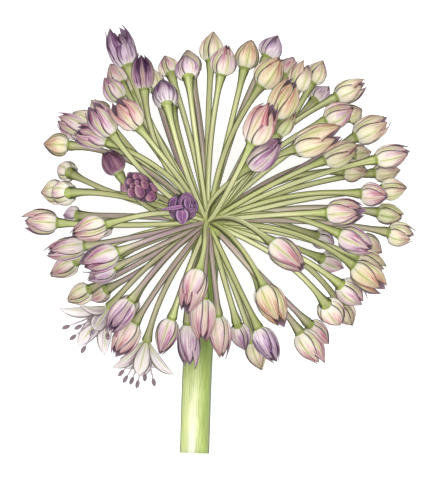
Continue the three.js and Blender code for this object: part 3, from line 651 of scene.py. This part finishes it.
def scape_material():
    """The thick green scape: smooth skin with fine lines along it, and a pale cut end. Light and
    shade are painted on it as seen from above: a pale painted highlight just left of its top,
    deeper greens of painted shade towards both sides, darkest on the right, a dark painted line
    along each side, and blotches of painted shade on the part under the head.
    """
    material, tree = plant_material("smooth_green_scape", 0.45, 0.4, 0.15)
    around, along = skin_place(tree)
    fine = streaks(tree, around, along, SCAPE_SKIN, 0.29, 6.4)
    broad = streaks(tree, around, along, SCAPE_SKIN, 1.93, 38.4)
    colour = painted(tree, "#d9dfa2", [
        # painted light and shade round the scape: deeper greens towards both sides, darkest on the right
        ("MIX", "#a9c060", 0.9, (around, 0.5, 0.62)),
        ("MIX", "#bccf76", 0.9, (around, 0.42, 0.3)),
        ("MIX", "#939f62", 0.9, (around, 0.6, 0.74)),
        # painted shade: darker green blotches on the part under the head
        ("MIX", "#76923c", 0.95, (along, 0.85, 0.4), (broad, 0.3, 0.6, 0.5, 1.0)),
        ("MIX", "#8ba050", 0.8, (fine, 0.42, 0.6), (broad, 0.4, 0.6, 0.35, 1.0)),
        # painted highlight: a pale streak just left of the top, towards the cut end
        ("MIX", "#f1f2dc", 0.75, (around, 0.4, 0.45), (around, 0.53, 0.48), (along, 0.6, 0.95)),
        # painted shade: darker strokes on the right side
        ("MIX", "#7b8a52", 0.6, (around, 0.52, 0.7), (fine, 0.38, 0.55)),
        # painted shade: a dark line along each side as seen from above
        ("MIX", STALK_EDGE_SHADE, 0.8, (side_wave(tree, around), 0.62, 0.86)),
        ("MIX", "#e6ecc4", 0.9, (along, 0.985, 0.99)),
    ])
    return finished(material, colour, fine, relief=0.1)


def petal_material():
    """An open tepal: thin and white, with mauve-grey veins, a faint green midrib, and a dark line
    along its margins, painted shade that outlines it.
    """
    material, tree = plant_material("thin_white_tepal", 0.5, 0.3, 0.2)
    leaf = tepal_place(tree)
    fine = streaks(tree, leaf.across, leaf.along, OPEN_SKIN, 0.5, 12.0)
    colour = painted(tree, "#f3edec", [
        ("MIX", "#b7a3ad", 0.75, (fine, 0.44, 0.6), (leaf.aside, 0.1, 0.4)),
        ("MIX", "#d5da9c", 0.45, (leaf.along, 0.3, 0.0)),
        ("MIX", "#bcc46c", 0.75, (leaf.aside, 0.14, 0.03), (leaf.along, 0.95, 0.7)),
        # painted shade: a dark line along the margins
        ("MIX", "#6b5d64", 0.85, (leaf.aside, 0.8, 0.92)),
    ])
    return finished(material, colour, fine)


def grainy_material(name, code, spots, size, roughness):
    """Small round organs: one colour with a mottle of another, at a spacing in millimetres."""
    material, tree = plant_material(name, roughness, 0.3, 0.1)
    place = node(tree, "ShaderNodeTexCoord")
    noise = node(tree, "ShaderNodeTexNoise", {"Vector": place.outputs["Object"],
                                             "Scale": 1 / (size * MM), "Detail": 3.0}).outputs[0]
    colour = painted(tree, code, [("MIX", spots, 0.8, (noise, 0.4, 0.65))])
    return finished(material, colour, noise, strength=0.5)


def folded_material(name, ground, dark, bordered):
    """Young tepals still wound round each other: deep violet, with pale lavender margins, a dark
    line at their edges as painted shade where they lie over each other, and inner faces painted
    darker as painted shade.
    """
    material, tree = plant_material(name, 0.5, 0.3, 0.1)
    leaf = tepal_place(tree)
    fine = streaks(tree, leaf.across, leaf.along, FOLDED_SKIN, 0.5, 5.0)
    colour = painted(tree, ground, [
        ("MIX", dark, 0.85, (fine, 0.4, 0.6)),
        ("MIX", "#bd9dbe", bordered, (leaf.aside, 0.45, 0.66)),
        # painted shade: a dark line at the edges where the tepals lie over each other
        ("MIX", "#2b1930", 0.95, (leaf.aside, 0.7, 0.84)),
        # inner faces painted darker: painted shade
        ("MIX", "#4d3560", 0.8, (leaf.inner,)),
    ])
    return finished(material, colour, fine)


def bulbil_material():
    """A bulbil: a small plum-coloured bulb, with a painted highlight on one side and at its upper
    end, a faint pale ring of painted highlight within its outline, and a dark outline of painted
    shade where its skin turns sideways.
    """
    material, tree = plant_material("plum_bulbil_skin", 0.4, 0.4, 0.1)
    around, along = skin_place(tree)
    flank = node(tree, "ShaderNodeAttribute", attribute_name="flank").outputs["Fac"]
    fine = streaks(tree, around, along, BULBIL_SKIN, 0.4, 2.0)
    return finished(material, painted(tree, "#8f5a74", [
        ("MIX", "#5c2850", 0.8, (fine, 0.38, 0.58)),
        # painted highlight: paler on one side and towards the upper end
        ("MIX", "#cda2a8", 0.7, (around, 0.5, 0.36)),
        ("MIX", "#c99fab", 0.65, (along, 0.42, 0.14)),
        # where the skin turns sideways: a faint painted highlight, then painted shade as a dark outline
        ("MIX", "#c49aa6", 0.3, (flank, 0.15, 0.35)),
        ("MIX", "#2f152b", 0.95, (flank, 0.36, 0.54)),
    ]))


def card_material():
    """Matt white card under the flower, with a tooth just over a millimetre wide."""
    material, tree = new_material("white_card", {
        "Roughness": 0.9, "Specular IOR Level": 0.1,
        "Emission Color": linear("#ffffff"), "Emission Strength": FLOOR["glow"]})
    place = node(tree, "ShaderNodeTexCoord")
    noise = node(tree, "ShaderNodeTexNoise", {"Vector": place.outputs["Object"], "Scale": 0.9 / MM})
    return finished(material, painted(tree, "#d9dada", [("MIX", "#d4d5d6", 0.5, (noise.outputs[0],))]))


TEPALS = {name: tepal_material(f"{name}_tepal", *values) for name, values in FINISHES.items()}
ANTHER = grainy_material("purple_grey_anther", "#75636f", "#9b8a93", 0.35, 0.7)
# the dark purple of the anthers inside a bud, partly painted shade inside it; also on the folded bud's core
THROAT = grainy_material("purple_throat", "#74597a", "#947791", 0.5, 0.6)
STALK_GREEN = stalk_material()
SCAPE_GREEN = scape_material()
OPEN_TEPAL = petal_material()
OVARY = grainy_material("green_ovary", "#a8bd5a", "#8fa548", 0.6, 0.4)
KNOB_GREEN = grainy_material("pale_green_knob", "#c3cd86", "#a7b564", 0.9, 0.5)
FILAMENT = grainy_material("pale_mauve_filament", "#b3a4ae", "#94848f", 0.8, 0.5)
BULBIL = bulbil_material()
# the dark plum body under the bulbils: bracts at its upper end, elsewhere painted shade between the bulbils
BRACTS_AND_SHADE = grainy_material("dark_plum_bracts_and_shade", "#4a2a46", "#6b4768", 0.6, 0.5)
FOLDED_VIOLET = folded_material("wound_violet_tepal", "#75496f", "#452647", 0.25)
BENT_VIOLET = folded_material("bent_violet_tepal", "#9a6c94", "#683c6b", 0.8)
LYING_VIOLET = folded_material("lying_violet_tepal", "#976892", "#54305a", 0.55)


# Shapes

def skin(bm, across, along, place, tone=0.0, mauve=0.0):
    """A closed skin from a grid that is across by along faces: its point at (u, v), each 0 to 1,
    goes to place(u, v), and what comes together is joined."""
    layers = [bm.verts.layers.float.get(name) or bm.verts.layers.float.new(name)
              for name in ("tone", "mauve")]
    bm.loops.layers.uv.verify()
    made = bmesh.ops.create_grid(bm, x_segments=across, y_segments=along, size=0.5, calc_uvs=True)
    for vert in made["verts"]:
        vert[layers[0]], vert[layers[1]] = tone, mauve
        vert.co = Vector(place(vert.co.x + 0.5, vert.co.y + 0.5)) * MM
    bmesh.ops.remove_doubles(bm, verts=made["verts"], dist=MERGED * MM)


def headings(line):
    """The way a line of points runs, at each of them."""
    ahead = np.gradient(np.array(line, float), axis=0)
    return ahead / np.linalg.norm(ahead, axis=1)[:, None]


def sides(ahead, up):
    """Square to a line, at each of its points: the way to its side, and the way nearest to up."""
    top = up - (ahead @ up)[:, None] * ahead
    top /= np.linalg.norm(top, axis=1)[:, None]
    return np.cross(ahead, top), top


def tube(bm, points, radii, faces_round, up, ribs=0, rib=0.0, **tones):
    """A round skin along points, with a radius at each; u = 0.5 lies on its upper side."""
    side, top = sides(headings(points), up)
    last = len(points) - 1

    def place(u, v):
        index = round(v * last)
        angle = 2 * math.pi * u
        wide = radii[index] * (1 + rib * math.cos(ribs * angle))
        return UMBEL + points[index] + wide * (math.sin(angle) * side[index] - math.cos(angle) * top[index])

    skin(bm, faces_round, last, place, **tones)


def leaf_side(u):
    """Where u lies on a thin leaf's skin: how far aside, -1 to 1, how thick the leaf is there,
    0 to 1, and whether this is its front face."""
    front = u <= 0.5
    aside = 4 * u - 1 if front else 3 - 4 * u
    return aside, math.sqrt(max(1 - aside ** 2, 0.0)), front


def joined(bm, other, material_index):
    """Adds another bmesh's faces to a bmesh, as faces of the material given."""
    mesh = bpy.data.meshes.new("join")
    for face in other.faces:
        face.material_index = material_index
    other.to_mesh(mesh)
    other.free()
    bm.from_mesh(mesh)
    bpy.data.meshes.remove(mesh)


def placed(name, data):
    """A new object in the scene."""
    made = bpy.data.objects.new(name, data)
    bpy.context.scene.collection.objects.link(made)
    return made


def meshed(name, bm, materials):
    """A new object from a bmesh."""
    mesh = bpy.data.meshes.new(name)
    bm.to_mesh(mesh)
    bm.free()
    for material in materials:
        mesh.materials.append(material)
    return placed(name, mesh)


def piece(name, bm, materials, slot, *nodes):
    """The finished piece: normals out, smooth, riding on the part in place of its nodes."""
    bmesh.ops.recalc_face_normals(bm, faces=bm.faces[:])
    bm.normal_update()
    # flank: how far the skin turns sideways at each point, 0 facing up or down, 1 sideways; the materials
    # paint shade and highlights along the outlines seen from above with it
    flank = bm.verts.layers.float.new("flank")
    for vert in bm.verts:
        vert[flank] = 1 - abs(vert.normal.z)
    for face in bm.faces:
        face.smooth = True
    made = meshed(name, bm, materials)
    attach(made, "root")
    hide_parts(*nodes)


def bud_frame(axis):
    """Sideways and front directions of a bud, its front as near the viewer as it can be."""
    facing = UP if abs(axis[2]) < 0.95 else np.array([0.0, -1.0, 0.0])
    front = unit(facing - (facing @ axis) * axis)
    return np.cross(axis, front), front


def bud_tepal(bm, bud, turn, kind, chance, grid):
    """One tepal of a bud: a thin leaf wrapped on the bud's round form, closing to its tip. Where
    the bud is open the tepal is longer, flares, and covers less of the round."""
    side, front = bud_frame(bud.axis)
    cup = bud.middle - bud.axis * bud.length / 2
    half_angle = math.radians(kind["half_angle"])
    parted = bud.opened
    long = (chance.uniform(*BUD_TEPAL["length"]) + kind["longer"]
            + parted * chance.choice(BUD_TEPAL["parted_longer"]))
    flare = parted * chance.uniform(*BUD_TEPAL["flare"])
    curl = parted * chance.uniform(*BUD_TEPAL["curl"])
    flare_from = mix(*BUD_TEPAL["flare_from"], min(2 * parted, 1))

    def place(u, v):
        aside, lens, outer = leaf_side(u)
        rib = BUD_TEPAL["rib"] * math.exp(-(aside / BUD_TEPAL["rib_half"]) ** 2)
        wide = bud.radius * (through(BUD_PROFILE, v) + flare * smooth(flare_from, 1.0, v)
                             + curl * smooth(0.8, 1.0, v)) - kind["tucked"] * smooth(0, 0.15, v)
        wide += rib if outer else -BUD_TEPAL["thick"] * lens * (1 - 0.5 * v)
        spread = mix(through(CLOSED_SPREAD, v), through(PARTED_SPREAD, v), parted)
        angle = turn + aside * half_angle * spread / (1 + 0.9 * flare * v * v)
        return (UMBEL + cup + bud.axis * (bud.length * long * v)
                + max(wide, 0.05) * (math.sin(angle) * side + math.cos(angle) * front))

    skin(bm, *grid, place, tone=chance.random())


def bud_core(bm, bud):
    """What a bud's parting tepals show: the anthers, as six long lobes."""
    cup = bud.middle - bud.axis * bud.length / 2
    shares = BUD_CORE["shares"]
    points = cup + bud.axis * (bud.length * shares)[:, None]
    radii = [max(bud.radius * through(BUD_PROFILE, share) - BUD_CORE["inset"], BUD_CORE["least"])
             for share in shares]
    radii[0] = radii[-1] = 0.0
    tube(bm, points, radii, BUD_CORE["sides"], bud_frame(bud.axis)[1], BUD_CORE["ribs"],
         BUD_CORE["rib"])


def build_bud(bm, core, bud, chance, grid):
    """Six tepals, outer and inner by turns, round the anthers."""
    for index in range(6):
        kind = (OUTER_TEPAL, INNER_TEPAL)[index % 2]
        bud_tepal(bm, bud, bud.turn + index * math.pi / 3, kind, chance, grid)
    bud_core(core, bud)


def cup_of(bud):
    return bud.middle - bud.axis * (bud.length / 2 + (SEAT if bud.forward >= 0 else 0.0))


def stalk_points(cup, axis, arch):
    """Points along a stalk from the umbel's middle to its cup, closer together towards its cup, and
    how far each lies from the cup."""
    shape = HIGH_BEND if arch else BEND
    bend = cup - shape["before"] * np.linalg.norm(cup) * axis
    rise = plotted(*arch, cup[2] * shape["rise"]) if arch else bend * shape["rise"]
    t = np.linspace(0, 1, STALK["samples"])[:, None]
    line = 3 * (1 - t) ** 2 * t * rise + 3 * (1 - t) * t * t * bend + t ** 3 * cup
    steps = np.linalg.norm(np.diff(line, axis=0), axis=1)
    along = np.concatenate([[0], np.cumsum(steps)])
    even = along[-1] * np.linspace(0, 1, STALK["rings"]) ** STALK["crowding"]
    return np.array([np.interp(even, along, line[:, part]) for part in range(3)]).T, along[-1] - even


def skin_up(cup, axis):
    """Which way up a steep stalk's skin is turned: square to the stalk, in the plane it bends in."""
    across = np.cross(axis, cup)
    if np.linalg.norm(across) < 0.01 * np.linalg.norm(cup):
        across = np.array([-cup[1], cup[0], 0.0])
    up = np.cross(unit(across), unit(cup))
    return up if up[2] > 0 else -up


def build_stalk(bm, cup, axis, arch, chance, mauve, bud=None):
    """A stalk, with the flared, rounded cup whose lip laps over the base of its bud."""
    points, to_cup = stalk_points(cup, axis, arch)
    shank = mix(STALK["root"], STALK["radius"], np.clip(np.linspace(0, 3, len(points)), 0, 1))
    flared = np.exp(-(to_cup / STALK["flare"]) ** STALK["flare_power"])
    radii = shank + (STALK["cup"] - STALK["radius"]) * flared
    ahead = headings(points)
    steep = np.abs(ahead[:, 2]).max() > STEEP
    side, top = sides(ahead, skin_up(cup, axis) if steep else UP)
    last = len(points) + CUP_LIP["rings"] + 2
    gap = SEAT if bud and bud.forward >= 0 else 0.0

    def lip(ring, angle):
        """How far ahead of the cup the lip's point lies, and how far out."""
        lap = CUP_LIP["side"] + (CUP_LIP["front"] - CUP_LIP["side"]) * math.cos(angle) ** 2
        reach = lap * min(ring / (CUP_LIP["rings"] - 1), 1)
        if bud:
            out = bud.radius * through(BUD_PROFILE, reach / bud.length) + CUP_LIP["skin"]
        else:
            out = STALK["cup"] * math.sqrt(max(1 - (reach / CUP_LIP["dome"]) ** 2, 0))
        return gap + reach, out if ring < CUP_LIP["rings"] else CUP_LIP["inward"] * out

    def place(u, v):
        ring = round(v * last) - 1
        angle = 2 * math.pi * u
        if ring < 0:
            return UMBEL + points[0]
        if ring < len(points):
            index, forward, out = ring, 0.0, radii[ring]
        elif ring < len(points) + CUP_LIP["rings"] + 1:
            index = -1
            forward, out = lip(ring - len(points), angle)
        else:
            index, forward, out = -1, gap + CUP_LIP["bottom"], 0.0
        return (UMBEL + points[index] + forward * axis
                + out * (math.sin(angle) * side[index] - math.cos(angle) * top[index]))

    skin(bm, STALK["sides"], last, place, tone=chance.random(), mauve=mauve)


def flower_frame(flower):
    """An open flower's cup and axis, and a function that gives the place of a plotted tip."""
    cup_x, cup_y, forward = flower.cup
    depth = depth_at(cup_x, cup_y, forward)[0]
    cup = plotted(cup_x, cup_y, depth)
    axis = unit(plotted(*flower.mouth, depth) - cup)

    def reached(row):
        x, y, front = row
        aside = plotted(x, y, depth) - cup
        rise = math.sqrt(max((flower.reach * PLOT) ** 2 - aside @ aside, 0))
        return cup + aside + front * rise * UP

    return cup, axis, reached


def blade(bm, root, bend, tip, width, facing, chance, outline=BLADE_WIDTH):
    """An open tepal: a thin pointed leaf along a curve, a little hollow across."""
    rows = BLADE_GRID[1]
    t = np.linspace(0, 1, rows + 1)[:, None]
    line = (1 - t) ** 2 * root + 2 * (1 - t) * t * bend + t * t * tip
    side, front = sides(headings(line), facing)

    def place(u, v):
        index = round(v * rows)
        aside, lens, on_front = leaf_side(u)
        wide = through(outline, v) * width / 2
        lift = BLADE_HOLLOW * width * aside ** 2 * through(outline, v)
        thick = LEAF_THICK * lens * (1 if on_front else -1)
        return UMBEL + line[index] + side[index] * aside * wide + front[index] * (lift + thick)

    skin(bm, *BLADE_GRID, place, tone=chance.random())


def organ(bm, start, axis, shape):
    """An ovary or an anther: a small lobed body along an axis."""
    steps = np.linspace(shape["from"], shape["to"], len(shape["radii"]))[:, None]
    tube(bm, start + axis * steps, shape["radii"], shape["sides"], UP, shape["ribs"], shape["rib"])


def filament(bm, root, end):
    """The thin stalk of an anther."""
    radii = FILAMENT_SHAPE["radii"]
    line = np.array([mix(root, end, share) for share in np.linspace(0, 1, len(radii))])
    tube(bm, line, radii, FILAMENT_SHAPE["sides"], UP, tone=FILAMENT_SHAPE["tone"])


def wound_tepal(bm, bud, layer, chance):
    """One tepal of the folded bud: it comes up from the cup and lies over the top, past the middle,
    over the tepals before it."""
    side, front = bud_frame(bud.axis)
    turn = WOUND["turn"] * layer + WOUND["first_turn"]
    way = math.sin(turn) * side + math.cos(turn) * front
    across = np.cross(bud.axis, way)
    out = mix(WOUND["inmost"], 1.0, layer / (WOUND["layers"] - 1))
    past = chance.uniform(0.25, 0.6)
    lean = chance.uniform(0.25, 0.5)
    half = bud.length / 2

    def place(u, v):
        aside, lens, outer = leaf_side(u)
        polar = mix(WOUND["cup_angle"], -past, v)
        swing = aside * through(WOUND_WIDTH, v) + lean * v * v
        on = math.cos(swing) * (math.sin(polar) * way + math.cos(polar) * bud.axis)
        on = on + math.sin(swing) * across
        size = out + WOUND["raised"] * aside ** 4 - (0 if outer else WOUND["thick"] * lens)
        rise = on @ bud.axis
        level = on - rise * bud.axis
        return UMBEL + bud.middle + size * (half * FOLDED["flat"] * rise * bud.axis + bud.radius * level)

    skin(bm, *WOUND["grid"], place, tone=chance.random())


def on_folded(bud, x, y, lift):
    """The point on top of the folded bud that is seen at x, y, lifted off its skin."""
    out = plotted(x, y) - plotted(*FOLDED["middle"])
    share = min(math.hypot(*out[:2]) / bud.radius, 0.97)
    return bud.middle + out + UP * (bud.length / 2 * FOLDED["flat"] * math.sqrt(1 - share ** 2) + lift)


def lying_tepal(bm, bud, row, width, lift, chance):
    """A tepal that lies close on the folded bud, along plotted points, its margins a little raised."""
    rows = LYING_GRID[1]
    steps = np.linspace(0, len(row) - 1, rows + 1)
    line = np.array([[through([(index, point[part]) for index, point in enumerate(row)], at)
                      for part in (0, 1)] for at in steps])
    ahead = headings(line)

    def place(u, v):
        index = round(v * rows)
        aside, lens, on_front = leaf_side(u)
        out = aside * width / 2 * through(LYING_WIDTH, v)
        x, y = line[index] + out * np.array([ahead[index][1], -ahead[index][0]])
        thick = LEAF_THICK * lens * (1 if on_front else -1)
        return UMBEL + on_folded(bud, x, y, lift + LYING_RAISED * aside ** 2 + thick)

    skin(bm, *LYING_GRID, place, tone=chance.random())


# Camera, floor and lights

def add_camera():
    right = PICTURE[0] / 2 - UMBEL_PIXEL[0]
    up = UMBEL_PIXEL[1] - PICTURE[1] / 2
    data = bpy.data.cameras.new("camera")
    data.lens = data.sensor_width * CAMERA_RISE / (PICTURE[1] * PLOT)
    camera = placed("camera", data)
    camera.location = Vector(UMBEL + plotted(right, up, CAMERA_RISE)) * MM
    bpy.context.scene.camera = camera


def add_light(name, place, size, power):
    data = bpy.data.lights.new(name, "AREA")
    data.size = size
    data.energy = power
    light = placed(name, data)
    light.location = place
    light.rotation_euler = (-Vector(place) + Vector(UMBEL) * MM).to_track_quat("-Z", "Y").to_euler()


def add_world():
    world = bpy.data.worlds.new("studio")
    world.use_nodes = True
    background = world.node_tree.nodes["Background"]
    background.inputs["Color"].default_value = linear("#ffffff")
    background.inputs["Strength"].default_value = WORLD_STRENGTH
    bpy.context.scene.world = world


def add_floor():
    bm = bmesh.new()
    bmesh.ops.create_circle(bm, cap_ends=True, segments=64, radius=FLOOR["radius"])
    floor = meshed("floor", bm, [card_material()])


add_camera()
add_floor()
for name, values in LIGHTS.items():
    add_light(name, *values)
add_world()
bpy.context.scene.view_settings.view_transform = "Standard"

# Buds: a piece for each of the near half, and for the far ones a piece for each finish
chance = random.Random(LOOK_SEED)
buds = [plot_bud(f"{side}_{index + 1}", row) for side, rows in BUDS.items()
        for index, row in enumerate(rows)]
fellows = fellow_buds(chance)
settle(buds + fellows)

for bud in [bud for bud in buds if bud.forward >= 0]:
    bm, core = bmesh.new(), bmesh.new()
    build_bud(bm, core, bud, chance, NEAR_GRID)
    joined(bm, core, 1)
    piece(f"{bud.name}_tepals", bm, [TEPALS[bud.finish], THROAT], SLOTS[bud.finish], f"bud_{bud.name}")

far = [bud for bud in buds if bud.forward < 0] + fellows
for finish in sorted({bud.finish for bud in far}):
    bm, core = bmesh.new(), bmesh.new()
    for bud in far:
        if bud.finish == finish:
            build_bud(bm, core, bud, chance, FAR_GRID)
    joined(bm, core, 1)
    piece(f"far_{finish}_buds", bm, [TEPALS[finish], THROAT], SLOTS[finish], "scape_and_stalks")

# Stalks of the buds, the knot, the folded bud and the open flowers
knot_middle = plotted(*KNOT["middle"], KNOT["rise"])
knot_axis = unit(np.array(KNOT["axis"]))
folded = SimpleNamespace(
    middle=plotted(*FOLDED["middle"], FOLDED["rise"]), axis=unit(np.array(FOLDED["axis"])),
    length=FOLDED["length"], radius=FOLDED["width"] * PLOT / 2, opened=0.0)

bm = bmesh.new()
for bud in buds + fellows:
    cup = cup_of(bud)
    mauve = mauve_share(cup, chance) * (0.0 if bud.arch else 1.0)
    build_stalk(bm, cup, bud.axis, bud.arch, chance, mauve, bud)
build_stalk(bm, knot_middle - knot_axis * (KNOT["core"] + SEAT), knot_axis, None, chance, KNOT["mauve"])
build_stalk(bm, folded.middle - folded.axis * (folded.length / 2 + SEAT), folded.axis, None, chance, 0.0)
for flower in FLOWERS.values():
    cup, axis, _ = flower_frame(flower)
    build_stalk(bm, cup - axis * SEAT, axis, None, chance, FLOWER_MAUVE)
piece("stalks", bm, [STALK_GREEN], "stalks", "scape_and_stalks")

# Scape and knob
bm = bmesh.new()
scape_line = np.array([plotted(x, y) for x, y in SCAPE_PLOT])
cuts = np.linspace(0, 1, SCAPE["rings"])
depths = -scape_line[:, 1]
points = np.array([[through(list(zip(depths, scape_line[:, 0])), at), -at, 0.0]
                   for at in cuts * depths[-1]])
radii = [mix(SCAPE["neck"], SCAPE["radius"], min(share / SCAPE["neck_share"], 1)) for share in cuts]
points = np.vstack([[0.0, SCAPE["cap"], 0.0], points, points[-1] + [0.0, -SCAPE["cap"], 0.0]])
tube(bm, points, [0.0, *radii, 0.0], SCAPE["sides"], UP, SCAPE["ribs"], SCAPE["rib"])
piece("scape", bm, [SCAPE_GREEN], "stalks", "scape_and_stalks")

bm = bmesh.new()
bmesh.ops.create_icosphere(bm, subdivisions=3, radius=SCAPE["knob"] * MM)
for vert in bm.verts:
    vert.co += Vector(UMBEL) * MM
piece("knob", bm, [KNOB_GREEN], "stalks", "scape_and_stalks")

# Open flowers: their tepals, and in a second piece ovary, filaments and anthers
for name, flower in FLOWERS.items():
    cup, axis, reached = flower_frame(flower)
    bm = bmesh.new()
    for row in flower.tepals:
        tip = reached(row)
        out = tip - cup
        aside = unit(out - (out @ axis) * axis)
        root = cup + axis * OPEN_BLADE["ahead"] + aside * OPEN_BLADE["aside"]
        bend = mix(root, tip, OPEN_BLADE["bend"]) + axis * OPEN_BLADE["bow"]
        facing = axis if row[2] == 1 else unit(axis + OPEN_BLADE["upturned"] * UP)
        blade(bm, root, bend, tip, OPEN_BLADE["width"], facing, chance)
    piece(f"{name}_open_tepals", bm, [OPEN_TEPAL], "cream_tepals", f"{name}_tepals")

    bm, filaments, anthers = bmesh.new(), bmesh.new(), bmesh.new()
    organ(bm, cup, axis, OVARY_SHAPE)
    for face in bm.faces:
        face.material_index = 1
    for row in flower.anthers:
        end = reached(row)
        root = cup + axis * FILAMENT_SHAPE["from"]
        filament(filaments, root, end)
        organ(anthers, end, unit(end - root), ANTHER_SHAPE)
    joined(bm, filaments, 2)
    joined(bm, anthers, 0)
    piece(f"{name}_anthers", bm, [ANTHER, OVARY, FILAMENT], "anthers", f"{name}_stamens")

# Knot of bulbils
bm, core = bmesh.new(), bmesh.new()
shares = np.sin(np.linspace(-math.pi / 2, math.pi / 2, KNOT["rings"]))
roundness = np.sqrt(np.maximum(1 - shares ** 2, 0))
# the dark body under the bulbils: bracts at its upper end, elsewhere painted shade in the gaps
bracts_and_shade_way = unit(np.array(KNOT_BRACTS_AND_SHADE["way"]))
tube(core, knot_middle + KNOT_BRACTS_AND_SHADE["half"] * shares[:, None] * bracts_and_shade_way,
     KNOT_BRACTS_AND_SHADE["radius"] * roundness, KNOT_BRACTS_AND_SHADE["sides"], UP)
joined(bm, core, 1)
for x, y, width, length, right, up in BULBILS:
    out = plotted(x, y) - plotted(*KNOT["middle"])
    rise = math.sqrt(max(KNOT["spread"] ** 2 - out @ out, 0)) - KNOT["sunk"]
    lie = unit(np.array([right, up, 0.0]))
    middle = knot_middle + out + rise * UP
    radii = roundness * (1 + KNOT["taper"] * shares) * KNOT["swell"] * width * PLOT / 2
    tube(bm, middle + lie * (shares * length * PLOT / 2)[:, None], radii, KNOT["sides"], UP,
         tone=chance.random())
piece("bulbils", bm, [BULBIL, BRACTS_AND_SHADE], "plum_tepals", "knot_of_bulbils")

# Folded bud: wound tepals round a core, tepals lying on it, and two bent out of it
bm, core, lying, bent = bmesh.new(), bmesh.new(), bmesh.new(), bmesh.new()
for layer in range(WOUND["layers"]):
    wound_tepal(bm, folded, layer, chance)
bud_core(core, folded)
joined(bm, core, 1)
for row, width, lift in FOLDED["lying"]:
    lying_tepal(lying, folded, row, width, lift, chance)
joined(bm, lying, 2)
for start, end, width in FOLDED["bent"]:
    root = on_folded(folded, *start, BENT["lift"])
    tip = plotted(*end, root[2] - BENT["drop"])
    bend = mix(root, tip, 0.5)
    bend[2] = root[2] + BENT["lift"]
    blade(bent, root, bend, tip, width, folded.axis, chance, BENT_WIDTH)
joined(bm, bent, 3)
piece("folded_tepals", bm, [FOLDED_VIOLET, THROAT, LYING_VIOLET, BENT_VIOLET], "plum_tepals",
      "folded_bud")
